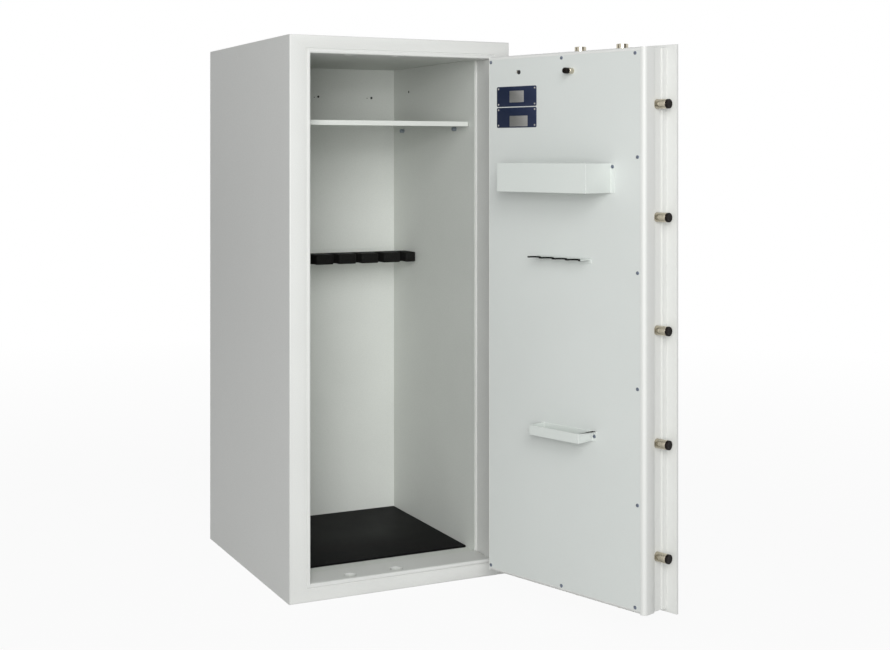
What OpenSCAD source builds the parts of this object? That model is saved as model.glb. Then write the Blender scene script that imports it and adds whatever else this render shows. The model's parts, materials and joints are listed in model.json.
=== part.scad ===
// Gun safe with an open, multi-bolt steel door.
// The base stands on z = 0 and the cabinet's base centre is the origin.
// Every piece is first drawn with its depth y counted from the cabinet's front plane;
// in_cabinet() then moves it to the origin and on_door() also swings it to the rest angle.

/* [Cabinet] */
// Outside width of the cabinet
body_w = 660; // [620:5:760]
// Outside height of the cabinet
body_h = 1500; // [1400:10:1700]
// Outside depth of the cabinet
body_d = 700; // [620:10:850]
// Thickness of the outer sheet and of the frame's folded sheet
shell_t = 3; // [2:0.5:4]
// Radius of the cabinet's front corners
corner_r = 4; // [3:0.5:6]
// Width of the front border at the left and right of the opening
side_border = 60; // [58:1:70]
// Height of the front border above and below the opening
end_border = 48; // [46:1:60]
// Bend radius of the sheet at the opening's front edge
fold_r = 6; // [5:0.5:7]
// Depth of the door frame behind the front plane
frame_d = 93; // [91:1:110]
// Thickness of the liner's sheet
liner_t = 2; // [1:0.5:3]
// Step from the sill and lintel out to the liner's floor and ceiling
liner_step = 3; // [2:0.5:5]
// How far the liner's side walls stand proud of the opening
liner_proud = 1.5; // [1:0.25:1.75]
// Depth of the front lip of the hinge-side jamb
lip_d = 40; // [25:1:60]
// Distance from the liner's rear wall to the cabinet's rear face
back_wall = 54; // [30:1:80]
// Radius of the four floor anchor holes
anchor_r = 7; // [5:0.5:8]
// Distance between the anchor holes from left to right
anchor_pitch_x = 380; // [300:10:420]
// Distance between the anchor holes from front to back
anchor_pitch_y = 420; // [300:10:440]

/* [Interior] */
// Clear height above the top shelf
top_space = 176; // [120:2:300]
// Depth of the shelf's front edge behind the front plane
shelf_front = 128; // [126:1:200]
// Height of the shelf's folded lips
shelf_lip = 14; // [10:1:25]
// Sheet thickness of the shelf
shelf_t = 1.5; // [1:0.25:2.5]
// Radius of the pins under the shelf
shelf_pin_r = 6; // [4:0.5:8]
// Height of the barrel comb's underside above the liner's floor
rack_z = 805; // [600:5:900]
// Height of the foam barrel comb
comb_h = 30; // [20:1:50]
// Depth of the comb from front to back
comb_d = 80; // [70:1:100]
// Gap between the comb and the liner's rear wall
comb_gap = 86; // [60:1:120]
// Number of barrel notches in the comb
notch_count = 7; // [4:1:8]
// Width of one barrel notch
notch_w = 18; // [16:1:28]
// Depth of one barrel notch
notch_d = 42; // [30:1:50]
// Thickness of the floor mat
mat_t = 5; // [2:0.5:8]

/* [Door] */
// Gap between door and frame at the lock side, wide enough for the thick door to swing
lock_gap = 12; // [12:1:16]
// Gap between door and frame at the hinge side
hinge_gap = 3; // [2:0.5:5]
// Gap between door and frame at the top and bottom
end_gap = 3; // [2:0.5:5]
// Thickness of the door's outer plate
plate_t = 6; // [4:0.5:8]
// Gap between the outer plate and the cabinet's front plane
plate_gap = 2; // [1:0.5:3]
// How far the outer plate reaches past the door box at the lock side
plate_overhang = 31; // [20:1:40]
// How far the outer plate reaches past the door box at the top and bottom
plate_end_over = 8; // [2:1:12]
// Depth of the door's inner face behind the front plane
door_in = 86; // [84:1:88]
// Sheet thickness of the door's posts, rails and inner cover
door_sheet = 2.5; // [1.5:0.5:3]
// Radius of the lock-side post's inner edge
post_r = 10; // [8:1:14]
// Depth of the channel in the lock-side post that the bolts leave
post_channel = 5; // [2:0.5:8]
// Radius of the inner edges of the top and bottom rails
rail_r = 9; // [6:1:12]
// Angle at which the open door stands in the rest pose
open_angle = 108; // [60:1:120]

/* [Hinges] */
// Distance of the hinge axis from the cabinet's right face
hinge_inset = 24; // [20:1:26]
// Distance of the hinge axis in front of the front plane
hinge_out = 26; // [25:1:30]
// Radius of the hinge knuckles
knuckle_r = 12; // [10:0.5:13]
// Length of one knuckle
knuckle_l = 60; // [40:2:100]
// Radius of the hinge pin
hinge_pin_r = 7; // [5:0.5:8]
// Thickness of the bronze washer between the knuckles
washer_t = 2; // [1:0.5:4]
// Distance of each hinge from the cabinet's top or bottom
hinge_end = 250; // [180:5:350]

/* [Boltwork] */
// Depth of the bolts' axes behind the front plane
bolt_y = 30; // [29:0.5:32]
// Radius of the side bolts
bolt_r = 12; // [10:0.5:13]
// Radius of the top and bottom bolts
end_bolt_r = 15; // [12:0.5:15.5]
// Number of bolts at the lock side
bolt_count = 5; // [3:1:6]
// Distance of the outer side bolts from the door's top and bottom
bolt_end = 138; // [100:2:200]
// How far the row of side bolts sits below the door's middle
bolt_drop = 2.5; // [0:0.5:10]
// Reach of the thrown side bolts past the door box
side_throw = 33; // [25:1:34]
// Reach of the thrown top and bottom bolts past the door box
end_throw = 15; // [14:1:20]
// Travel of the side bolts
side_travel = 34; // [26:1:35]
// Travel of the top and bottom bolts
end_travel = 20; // [15:1:21]
// Distance of the first top and bottom bolt from the lock-side edge
end_bolt_a = 113; // [100:1:140]
// Distance of the second top and bottom bolt from the lock-side edge
end_bolt_b = 250; // [225:1:270]
// Distance of the handle's axis from the lock-side edge
handle_in = 198; // [194:1:204]
// Height of the handle's axis
handle_z = 890; // [850:5:930]
// Radius of the handle's spindle
spindle_r = 10; // [8:0.5:12]
// Radius of the cam disc
cam_r = 80; // [78:1:84]
// Radius of the pins that run in the cam slots
cam_pin_r = 5; // [4:0.5:6]
// Angle that the handle turns to draw all the bolts
handle_turn = 90; // [60:5:90]
// Radius at which the side bolts' pin starts in its slot
side_slot_r = 68; // [66:1:70]
// Radius at which the top and bottom pins start in their slots
end_slot_r = 60; // [58:1:62]

/* [Panel fittings] */
// Width of the document tray
tray_w = 298; // [200:2:320]
// Height of the document tray's front
tray_h = 74; // [50:1:120]
// Depth of the document tray
tray_d = 99; // [60:1:140]
// Width of the small tray
small_w = 164; // [100:2:220]
// Height of the small tray's front
small_h = 25; // [15:1:60]
// Depth of the small tray
small_d = 58; // [40:2:90]
// Width of the rod holder
rod_w = 176; // [160:2:240]
// Depth of the rod holder
rod_d = 45; // [35:1:70]
// Number of scallops in the rod holder
scallops = 4; // [2:1:4]
// Radius of one scallop
scallop_r = 17; // [10:1:20]
// Sheet thickness of the trays and the rod holder
tray_t = 1.5; // [1:0.25:2.5]
// Radius of the screw heads on the door's inner cover
screw_r = 4.5; // [3:0.5:6]
// Radius of the stud on the inner cover
stud_r = 8; // [5:0.5:10]
// Length of the stud on the inner cover
stud_l = 30; // [15:1:40]
// Width of the two rating plates
rating_w = 142; // [100:1:170]
// Height of one rating plate
rating_h = 54; // [40:1:60]

/* [Outside fittings] */
// Length of the handle lever from its axis
lever_l = 130; // [90:5:160]
// Radius of the lever's hub
hub_r = 19; // [16:0.5:24]
// Radius of the rose under the handle
rose_r = 30; // [26:1:40]
// Distance of the keyhole above the handle's axis
key_up = 140; // [130:5:170]
// Distance of the keyhole from the lock-side edge
key_in = 139; // [130:1:150]

/* [Hidden] */
$fn = 64;
// Overlap that makes a cut run clean through
cut = 1;
// Radial clearance of a running or push fit
slip = 0.05;
// Clearance of loosely guided pieces
loose = 0.3;
// Gap between sheets that are welded edge to edge, so that each stays a solid of its own
seam = 0.05;

// Half widths and heights of the cabinet's spaces
in_x = body_w / 2 - shell_t;
open_x = body_w / 2 - side_border;
open_z0 = end_border;
open_z1 = body_h - end_border;
liner_x = open_x - liner_proud;
liner_z0 = open_z0 - liner_step;
liner_z1 = open_z1 + liner_step;
liner_y = body_d - back_wall;
jamb_z0 = open_z0 - shell_t;
jamb_z1 = open_z1 + shell_t;

// The channel in the lock jamb that receives the side bolts
channel_half = bolt_r + 4;
channel_y0 = bolt_y - channel_half;
channel_y1 = bolt_y + channel_half;
channel_x = open_x + side_throw + loose + 2.7;
fold_end = channel_y0 - shell_t;

// The recess behind the front lip of the hinge jamb
recess_x = open_x + 4;

// The cups in the sill and the lintel that receive the end bolts
cup_hole_r = end_bolt_r + 3;
cup_wall = 2;
cup_depth = 25;
cup_back_y = bolt_y + cup_hole_r + cup_wall + 1;

// The door box
lock_x = lock_gap - open_x;
edge_x = open_x - hinge_gap;
door_z0 = open_z0 + end_gap;
door_z1 = open_z1 - end_gap;
door_h = door_z1 - door_z0;
plate_y1 = -plate_gap;
plate_y0 = plate_y1 - plate_t;
plate_z0 = door_z0 - plate_end_over;
plate_z1 = door_z1 + plate_end_over;
post_w = post_r + 4;
inside_x0 = lock_x + post_channel + door_sheet;
inside_x1 = edge_x - door_sheet;
inside_z0 = door_z0 + door_sheet;
inside_z1 = door_z1 - door_sheet;

// The layers of the door from the outer plate inward
barrier_y1 = 12;
works_y0 = 14;
works_y1 = 48;
works_plate_t = 3;
board_y0 = works_y1 + works_plate_t;
cover_y0 = door_in - door_sheet;
cover_x0 = lock_x + post_w;
cover_z0 = door_z0 + rail_r;
cover_z1 = door_z1 - rail_r;

// Hinge axis and hinge heights
hinge_x = body_w / 2 - hinge_inset;
hinge_y = -hinge_out;
hinge_zs = [hinge_end, body_h - hinge_end];
leaf_t = 10;
leaf_w = 106;
leaf_half = 10;
pin_head_r = hinge_pin_r + 2;
pin_head_t = 3;
pin_top_gap = 5;
plate_x1 = hinge_x - 16;

// Bolt places
bolt_pitch = (door_h - 2 * bolt_end) / (bolt_count - 1);
bolt_zs = [for (i = [0 : bolt_count - 1]) door_z0 + bolt_end - bolt_drop + i * bolt_pitch];
end_bolt_xs = [lock_x + end_bolt_a, lock_x + end_bolt_b];
tip_t = 3;
side_bar_x = lock_x + 52;
bar_t = 6;
bar_y0 = bolt_y - 14;
bar_y1 = bolt_y + 14;
bar_over = 20;
end_bar_in = 65;
end_bar_t = 8;
end_bar_over = 17;
spigot_r = 5;
rivet_r = 8;
rivet_t = 3;
bush_wall = 2;
side_bush_flange = 3;
end_bush_flange = 0.7;
bush_flange_t = 3;
bush_in = 8;
bush_shell = bush_wall + slip;
side_seat_r = bolt_r + bush_shell + slip;
end_seat_r = end_bolt_r + bush_shell + slip;

// Handle axis, cam disc and links
handle_x = lock_x + handle_in;
cam_y0 = 36;
cam_t = 6;
collar_r = spindle_r + 5;
collar_t = 6;
link_y0 = 28;
link_y1 = 34;
link_w = 16;
link_end = 10;
pin_y1 = cam_y0 + cam_t + 2;
guide_wall = 7;
guide_l = 40;
guide_from_cam = 220;

// Lock case
case_w = 82;
case_h = 75;
case_y0 = 20;
key_x = lock_x + key_in;
key_z = handle_z + key_up;
case_x0 = key_x - case_w / 2;
case_z0 = key_z - 45;
lock_bolt_h = 20;
lock_bolt_y0 = 28;
lock_bolt_y1 = 40;
lock_bolt_in = 30;
lock_bolt_out = 2;
key_hole_r = 6;
key_channel_r = 12;
case_screw_r = 4;
case_screw_in = 8;

// Places on the inner cover, from the hinge-side edge and down from the door's top
cover_hole_r = 5;
cover_hole = [105, 45];
stud_at = [292.5, 50.5];
rating_from_edge = 30.5;
rating_tops = [83, 139.5];
rating_t = 1;
window_t = 0.5;
rating_windows = [[46.5, 12, 51, 31], [47, 22.5, 64, 28.5]];
rivet_in = 6;
rating_rivet_r = 2.5;
rating_rivet_t = 1.5;
tray_at = [122, 288];
small_at = [198, 967];
rod_at = [182, 531];
rod_drop = 12;
tray_ear = 12;
rod_t = 2.5;
rod_tab = 12;
screw_t = 2;
screw_shank = 2.3;
screw_first = 268;
screw_step = 286;
screw_rows = [for (i = [0 : 3]) screw_first + i * screw_step];
screw_end_in = 15;
screw_left_in = 7.5;
screw_middle_in = 258;
screw_corner_in = 16;
screw_right_in = 22.5;

// Outside fittings
rose_y = plate_y0 - 6;
hub_y = rose_y - 40;
lever_t = 14;
lever_w0 = 15;
lever_w1 = 10;
spindle_in_hub = 30;
handle_screw_r = 4;
handle_screw_head = 7;
handle_screw_t = 4;
scutcheon_r = 16;
scutcheon_t = 3;
pivot_up = 22;
pivot_r = 2.5;
cover_t = 3.8;
pivot_head_r = 5;
pivot_head_t = 2;
key_cover_r = 12;
key_cover_neck = 5.5;

// Interior fittings
shelf_gap = 2;
shelf_z = liner_z1 - top_space;
shelf_pin_l = 12;
shelf_pin_ys = [shelf_front + 83, liner_y - 74];
comb_x = liner_x - 1.5;
comb_end_r = 6;
comb_y0 = liner_y - comb_gap - comb_d;
comb_z0 = liner_z0 + rack_z;
bracket_x = liner_x - 33;
bracket_t = 4;
bracket_up = 34;
bracket_screws = 4;
rack_screw_r = 6;
rack_screw_t = 4;
mat_gap = 1;
mat_front = 140;
wall_hole_r = 2;
rear_hole_xs = [-7, 174];
rear_hole_down = 91;
side_hole_in = 119;
side_hole_down = 74;

// Frames: depth from the front plane, and the same on the swung door.
module in_cabinet() {
    translate([0, -body_d / 2, 0]) children();
}

module on_door() {
    in_cabinet()
        translate([hinge_x, hinge_y, 0])
            rotate([0, 0, open_angle])
                translate([-hinge_x, -hinge_y, 0])
                    children();
}

// Helper shapes: a box and a rectangle between two corners, and round bars along an axis.
module block(low, high) {
    translate(low) cube(high - low);
}

module area(low, high) {
    translate(low) square(high - low);
}

module bar_x(x0, x1, y, z, r) {
    translate([x0, y, z]) rotate([0, 90, 0]) cylinder(r = r, h = x1 - x0);
}

module bar_y(x, y0, y1, z, r) {
    translate([x, y0, z]) rotate([-90, 0, 0]) cylinder(r = r, h = y1 - y0);
}

module bar_z(x, y, z0, z1, r) {
    translate([x, y, z0]) cylinder(r = r, h = z1 - z0);
}

// Extrusion of a depth-and-height outline along the width.
module across(x0, x1) {
    translate([x0, 0, 0]) rotate([90, 0, 90]) linear_extrude(x1 - x0) children();
}

// Mirror image of a door shape about the door's middle height.
module upside_down() {
    translate([0, 0, door_z0 + door_z1]) mirror([0, 0, 1]) children();
}

// Outline in depth with two round front corners, from low to high along the first axis.
module round_front(low, high, depth, r) {
    area([low, r], [high, depth]);
    area([low + r, 0], [high - r, r + cut]);
    translate([low + r, r]) circle(r);
    translate([high - r, r]) circle(r);
}

// Outline of the opening's mouth: it widens towards the front along a bend of radius r.
module mouth_outline(low, high, depth, r) {
    area([low, r - cut], [high, depth]);
    difference() {
        area([low - r, -cut], [high + r, r]);
        translate([low - r, r]) circle(r);
        translate([high + r, r]) circle(r);
    }
}

module mouth(x, z0, z1, depth, r) {
    intersection() {
        linear_extrude(body_h) mouth_outline(-x, x, depth, r);
        across(-body_w / 2, body_w / 2) rotate(90) mirror([0, 1]) mouth_outline(z0, z1, depth, r);
    }
}

module anchor_holes(z0, z1) {
    mid_y = (frame_d + liner_y) / 2;
    for (sx = [-1, 1])
        for (sy = [-1, 1])
            bar_z(sx * anchor_pitch_x / 2, mid_y + sy * anchor_pitch_y / 2, z0, z1, anchor_r);
}

// ---- Cabinet ----

// Sides, top and bottom of the outer shell, behind the front frame.
module outer_shell() {
    y0 = fold_end + seam;
    color("#dfe1df") in_cabinet() {
        for (s = [-1, 1])
            translate([s * (in_x + shell_t / 2), (y0 + body_d) / 2, body_h / 2])
                cube([shell_t, body_d - y0, body_h], center = true);
        block([-in_x + seam, y0, body_h - shell_t], [in_x - seam, body_d, body_h]);
        difference() {
            block([-in_x + seam, y0, 0], [in_x - seam, body_d, shell_t]);
            anchor_holes(-cut, shell_t + cut);
        }
    }
}

// Front border of folded sheet with its rounded mouth, in four welded bars.
module front_frame() {
    color("#dfe1df") in_cabinet()
        difference() {
            intersection() {
                linear_extrude(body_h) round_front(-body_w / 2, body_w / 2, fold_end, corner_r);
                across(-body_w / 2, body_w / 2)
                    rotate(90) mirror([0, 1]) round_front(0, body_h, fold_end, corner_r);
            }
            difference() {
                block([-in_x, shell_t, shell_t], [in_x, fold_end + cut, body_h - shell_t]);
                translate([0, shell_t, 0])
                    mouth(open_x + shell_t, jamb_z0, jamb_z1, fold_end, fold_r - shell_t);
            }
            mouth(open_x, open_z0, open_z1, fold_end + cut, fold_r);
            for (s = [-1, 1])
                translate([s * (open_x + seam / 2), 0, body_h / 2])
                    cube([seam, 3 * fold_end, body_h + 2 * cut], center = true);
        }
}

module back_panel() {
    color("#d2d4d2") in_cabinet()
        block([-in_x, body_d - shell_t, shell_t], [in_x, body_d, body_h - shell_t]);
}

// Cast barrier between the liner and the outer sheet, one slab for each side.
module barrier_fill() {
    side_x = liner_x + liner_t;
    rear_y = liner_y + liner_t;
    low_z = liner_z0 - liner_t;
    high_z = liner_z1 + liner_t;
    color("#a9a49b") in_cabinet() {
        block([-in_x, rear_y, shell_t], [in_x, body_d - shell_t, body_h - shell_t]);
        for (s = [-1, 1])
            translate([s * (side_x + in_x) / 2, (frame_d + rear_y) / 2, body_h / 2])
                cube([in_x - side_x, rear_y - frame_d, body_h - 2 * shell_t], center = true);
        block([-side_x, frame_d, high_z], [side_x, rear_y, body_h - shell_t]);
        difference() {
            block([-side_x, frame_d, shell_t], [side_x, rear_y, low_z]);
            anchor_holes(shell_t - cut, low_z + cut);
        }
    }
}

// Cast filling of the frame posts; it leaves the bolt channel and the cups' troughs free.
module frame_fill() {
    rear_y = frame_d - shell_t;
    bend_x = open_x + fold_r + 1;
    trough_z = jamb_z0 - cup_depth;
    color("#a9a49b") in_cabinet() {
        block([-in_x, fold_end, jamb_z0], [-channel_x - shell_t, rear_y, jamb_z1]);
        block([-channel_x - shell_t, channel_y1 + shell_t, jamb_z0],
            [-open_x - shell_t, rear_y, jamb_z1]);
        block([recess_x + shell_t, fold_end, jamb_z0], [in_x, rear_y, jamb_z1]);
        block([-in_x, shell_t, jamb_z0], [-bend_x, fold_end, jamb_z1]);
        block([bend_x, shell_t, jamb_z0], [in_x, fold_end, jamb_z1]);
        for (flip = [0, 1])
            translate([0, 0, flip * body_h]) mirror([0, 0, flip]) {
                block([-in_x, shell_t, shell_t], [in_x, rear_y, trough_z]);
                block([-in_x, cup_back_y, trough_z], [in_x, rear_y, jamb_z0]);
            }
    }
}

// Inner box of five welded sheets, with a few small holes in its walls.
module inner_liner() {
    x1 = liner_x + liner_t;
    y1 = liner_y - seam;
    low_z = liner_z0 - liner_t;
    high_z = liner_z1 + liner_t;
    color("#d8dad8") in_cabinet() {
        block([-x1, frame_d, low_z], [-liner_x, y1, high_z]);
        difference() {
            block([liner_x, frame_d, low_z], [x1, y1, high_z]);
            bar_x(liner_x - cut, x1 + cut, liner_y - side_hole_in, liner_z1 - side_hole_down,
                wall_hole_r);
        }
        block([-liner_x + seam, frame_d, liner_z1], [liner_x - seam, y1, high_z]);
        difference() {
            block([-liner_x + seam, frame_d, low_z], [liner_x - seam, y1, liner_z0]);
            anchor_holes(low_z - cut, liner_z0 + cut);
        }
        difference() {
            block([-x1, liner_y, low_z], [x1, liner_y + liner_t, high_z]);
            for (x = rear_hole_xs)
                bar_y(x, liner_y - cut, liner_y + liner_t + cut, liner_z1 - rear_hole_down,
                    wall_hole_r);
        }
    }
}

// Folded lock-side jamb whose channel takes the side bolts.
module lock_jamb() {
    floor_x = -channel_x - shell_t;
    color("#d9dbd9") in_cabinet() translate([0, 0, jamb_z0]) linear_extrude(jamb_z1 - jamb_z0) {
        area([floor_x, fold_end], [-open_x, channel_y0]);
        area([floor_x, fold_end], [-channel_x, channel_y1 + shell_t]);
        area([floor_x, channel_y1], [-open_x, channel_y1 + shell_t]);
        area([-open_x - shell_t, channel_y1], [-open_x, frame_d]);
        area([-in_x, frame_d - shell_t], [-open_x, frame_d]);
    }
}

// Hinge-side jamb with a deep front lip, a shallow recess behind it and a rear lip.
module hinge_jamb() {
    color("#d9dbd9") in_cabinet() translate([0, 0, jamb_z0]) linear_extrude(jamb_z1 - jamb_z0) {
        area([open_x, fold_end], [open_x + shell_t, lip_d]);
        area([open_x, lip_d - shell_t], [recess_x + shell_t, lip_d]);
        area([recess_x, lip_d - shell_t], [recess_x + shell_t, frame_d]);
        area([open_x, frame_d - shell_t], [in_x, frame_d]);
    }
}

// Sill sheet with the bolt holes; the lintel is the same sheet upside down.
module end_jamb() {
    difference() {
        union() {
            block([-open_x, fold_end, jamb_z0], [open_x, frame_d, open_z0]);
            block([-in_x, frame_d - shell_t, shell_t], [in_x, frame_d, jamb_z0]);
        }
        for (x = end_bolt_xs)
            bar_z(x, bolt_y, jamb_z0 - cut, open_z0 + cut, cup_hole_r);
    }
}

module sill_plate() {
    color("#d9dbd9") in_cabinet() end_jamb();
}

module lintel_plate() {
    color("#d9dbd9") in_cabinet() translate([0, 0, body_h]) mirror([0, 0, 1]) end_jamb();
}

// Steel tubes behind the bolt holes, at the sill and at the lintel.
module bolt_cups() {
    color("#8d9092") in_cabinet()
        for (x = end_bolt_xs)
            for (z = [jamb_z0 - cup_depth, jamb_z1])
                difference() {
                    bar_z(x, bolt_y, z, z + cup_depth, cup_hole_r + cup_wall);
                    bar_z(x, bolt_y, z - cut, z + cup_depth + cut, cup_hole_r);
                }
}

module shelf() {
    x = liner_x - shelf_gap;
    y1 = liner_y - shelf_gap;
    color("#dfe1df") in_cabinet()
        difference() {
            block([-x, shelf_front, shelf_z - shelf_lip], [x, y1, shelf_z]);
            block([-x + shelf_t, shelf_front + shelf_t, shelf_z - shelf_lip - cut],
                [x - shelf_t, y1 - shelf_t, shelf_z - shelf_t]);
        }
}

module shelf_pins() {
    z = shelf_z - shelf_lip - shelf_pin_r;
    color("#c9cccd") in_cabinet()
        for (y = shelf_pin_ys) {
            bar_x(-liner_x, -liner_x + shelf_pin_l, y, z, shelf_pin_r);
            bar_x(liner_x - shelf_pin_l, liner_x, y, z, shelf_pin_r);
        }
}

// Angle that carries the comb from the liner's rear wall.
module rack_bracket() {
    color("#2b2c2e") in_cabinet()
        difference() {
            block([-bracket_x, comb_y0 + notch_d + 5, comb_z0 - bracket_t],
                [bracket_x, liner_y, comb_z0 + bracket_up]);
            block([-bracket_x - cut, comb_y0, comb_z0],
                [bracket_x + cut, liner_y - bracket_t, comb_z0 + bracket_up + cut]);
        }
}

// Foam comb with round front corners and narrow notches for the barrels.
module barrel_comb() {
    pitch = 2 * (comb_x - comb_end_r) / notch_count;
    color("#1f2022") in_cabinet() translate([0, comb_y0, comb_z0]) linear_extrude(comb_h)
        difference() {
            round_front(-comb_x, comb_x, comb_d, comb_end_r);
            for (i = [0 : notch_count - 1]) {
                x = (i - (notch_count - 1) / 2) * pitch;
                area([x - notch_w / 2, -cut], [x + notch_w / 2, notch_d - notch_w / 2]);
                translate([x, notch_d - notch_w / 2]) circle(notch_w / 2);
            }
        }
}

module rack_screws() {
    step = 2 * bracket_x / bracket_screws;
    face_y = liner_y - bracket_t;
    color("#a7abad") in_cabinet()
        for (i = [0 : bracket_screws - 1])
            bar_y((i - (bracket_screws - 1) / 2) * step, face_y - rack_screw_t, face_y,
                comb_z0 + bracket_up / 2, rack_screw_r);
}

module floor_mat() {
    color("#232426") in_cabinet()
        block([-liner_x + mat_gap, mat_front, liner_z0],
            [liner_x - mat_gap, liner_y - mat_gap, liner_z0 + mat_t]);
}

// Lower knuckles, welded to the front border, with a bore for the pin.
module frame_hinges() {
    color("#dfe1df") in_cabinet()
        for (z = hinge_zs) {
            top = z - washer_t / 2;
            difference() {
                union() {
                    bar_z(hinge_x, hinge_y, top - knuckle_l, top, knuckle_r);
                    block([hinge_x - leaf_half, hinge_y, top - knuckle_l],
                        [hinge_x + leaf_half, 0, top]);
                }
                bar_z(hinge_x, hinge_y, top - knuckle_l - cut, top + cut, hinge_pin_r + slip);
            }
        }
}

module hinge_pins() {
    color("#b9bcbe") in_cabinet()
        for (z = hinge_zs) {
            low = z - washer_t / 2 - knuckle_l;
            high = z + washer_t / 2 + knuckle_l;
            bar_z(hinge_x, hinge_y, low - pin_head_t, low, pin_head_r);
            bar_z(hinge_x, hinge_y, low - pin_head_t, high - pin_top_gap - loose, hinge_pin_r);
        }
}

module hinge_washers() {
    color("#b08d4f") in_cabinet()
        for (z = hinge_zs)
            difference() {
                bar_z(hinge_x, hinge_y, z - washer_t / 2, z + washer_t / 2, knuckle_r);
                bar_z(hinge_x, hinge_y, z - washer_t, z + washer_t, hinge_pin_r + slip);
            }
}

// ---- Door, drawn closed and swung open by on_door() ----

module door_plate() {
    color("#e2e4e2") on_door()
        difference() {
            block([lock_x - plate_overhang, plate_y0, plate_z0], [plate_x1, plate_y1, plate_z1]);
            bar_y(handle_x, plate_y0 - cut, plate_y1 + cut, handle_z, spindle_r + loose);
            bar_y(key_x, plate_y0 - cut, plate_y1 + cut, key_z, key_hole_r);
        }
}

// Hard barrier slab behind the outer plate.
module door_barrier() {
    color("#a9a49b") on_door()
        difference() {
            block([lock_x + post_w, plate_y1, inside_z0], [inside_x1, barrier_y1, inside_z1]);
            bar_y(handle_x, plate_y1 - cut, barrier_y1 + cut, handle_z, spindle_r + 1);
            bar_y(key_x, plate_y1 - cut, barrier_y1 + cut, key_z, key_channel_r);
        }
}

// Quarter of a bent sheet in the first quadrant.
module quarter_bend(r, t) {
    intersection() {
        difference() {
            circle(r);
            circle(r - t);
        }
        square(r + cut);
    }
}

// Folded sheet of the lock-side post in plan, with the channel that the bolts come out of.
module post_sheet() {
    web_x = lock_x + post_channel;
    bend_y = door_in - post_r;
    area([lock_x, plate_y1], [lock_x + door_sheet, works_y0]);
    area([lock_x, works_y0 - door_sheet], [inside_x0, works_y0]);
    area([web_x, works_y0 - door_sheet], [inside_x0, works_y1 + door_sheet]);
    area([lock_x, works_y1], [inside_x0, works_y1 + door_sheet]);
    area([lock_x, works_y1], [lock_x + door_sheet, bend_y]);
    translate([lock_x + post_r, bend_y]) mirror([1, 0]) quarter_bend(post_r, door_sheet);
    area([lock_x + post_r, cover_y0], [cover_x0, door_in]);
}

// Plate that closes the post's ends.
module post_end() {
    bend_y = door_in - post_r;
    area([lock_x, plate_y1], [cover_x0, works_y0]);
    area([lock_x + post_channel, plate_y1], [cover_x0, bend_y]);
    area([lock_x, works_y1], [cover_x0, bend_y]);
    area([lock_x + post_r, plate_y1], [cover_x0, door_in]);
    translate([lock_x + post_r, bend_y]) mirror([1, 0]) quarter_bend(post_r, post_r - cut);
}

module lock_side_post() {
    color("#e4e6e4") on_door()
        difference() {
            union() {
                translate([0, 0, door_z0]) linear_extrude(door_h) post_sheet();
                for (z = [door_z0, inside_z1])
                    translate([0, 0, z]) linear_extrude(door_sheet) post_end();
            }
            for (z = bolt_zs)
                bar_x(lock_x, inside_x0 + cut, bolt_y, z, side_seat_r);
        }
}

module hinge_side_post() {
    color("#e4e6e4") on_door()
        block([inside_x1, plate_y1, door_z0], [edge_x, door_in, door_z1]);
}

// Top rail with a round inner edge and the holes of the end bolts.
module rail() {
    bend_y = door_in - rail_r;
    color("#e4e6e4") difference() {
        across(cover_x0, inside_x1) {
            area([plate_y1, inside_z1], [bend_y, door_z1]);
            translate([bend_y, cover_z1]) quarter_bend(rail_r, door_sheet);
        }
        for (x = end_bolt_xs)
            bar_z(x, bolt_y, inside_z1 - cut, door_z1 + cut, end_seat_r);
    }
}

module door_top_rail() {
    on_door() rail();
}

module door_bottom_rail() {
    on_door() upside_down() rail();
}

// Steel plate that carries the lock, the guides and the spindle's inner end.
module boltwork_plate() {
    color("#9aa0a3") on_door()
        difference() {
            block([inside_x0, works_y1, inside_z0], [inside_x1, board_y0, inside_z1]);
            bar_y(handle_x, works_y1 - cut, board_y0 + cut, handle_z, spindle_r + slip);
        }
}

module door_insulation() {
    color("#e8e2d2") on_door()
        difference() {
            block([lock_x + post_r, board_y0, cover_z0], [inside_x1, cover_y0, cover_z1]);
            bar_y(edge_x - cover_hole[0], cover_y0 - 30, cover_y0 + cut,
                door_z1 - cover_hole[1], cover_hole_r);
        }
}

// Places of the cover screws as [x, z].
function screw_places() = concat(
    [for (x = [edge_x - screw_left_in, edge_x - screw_middle_in, cover_x0 + screw_corner_in])
        for (z = [door_z0 + screw_end_in, door_z1 - screw_end_in]) [x, z]],
    [for (dz = screw_rows) [lock_x + screw_right_in, door_z0 + dz]]
);

module inner_cover() {
    color("#dde0df") on_door()
        difference() {
            block([cover_x0, cover_y0, cover_z0], [inside_x1, door_in, cover_z1]);
            bar_y(edge_x - cover_hole[0], cover_y0 - cut, door_in + cut,
                door_z1 - cover_hole[1], cover_hole_r);
            for (p = screw_places())
                bar_y(p[0], cover_y0 - cut, door_in + cut, p[1], screw_shank + slip);
        }
}

module cover_screws() {
    color("#b9bdbf") on_door()
        for (p = screw_places()) {
            bar_y(p[0], door_in, door_in + screw_t, p[1], screw_r);
            bar_y(p[0], cover_y0, door_in + screw_t, p[1], screw_shank);
        }
}

// Bare plates with a plain field each, in place of the certification plates.
module rating_plates() {
    color("#27407c") on_door()
        for (top = rating_tops)
            block([edge_x - rating_from_edge - rating_w, door_in, door_z1 - top - rating_h],
                [edge_x - rating_from_edge, door_in + rating_t, door_z1 - top]);
}

module plate_windows() {
    y = door_in + rating_t;
    color("#c9ced6") on_door()
        for (i = [0 : len(rating_tops) - 1]) {
            w = rating_windows[i];
            x1 = edge_x - rating_from_edge - w[0];
            z1 = door_z1 - rating_tops[i] - w[1];
            block([x1 - w[2], y, z1 - min(w[3], rating_h - w[1] - 1)], [x1, y + window_t, z1]);
        }
}

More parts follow.
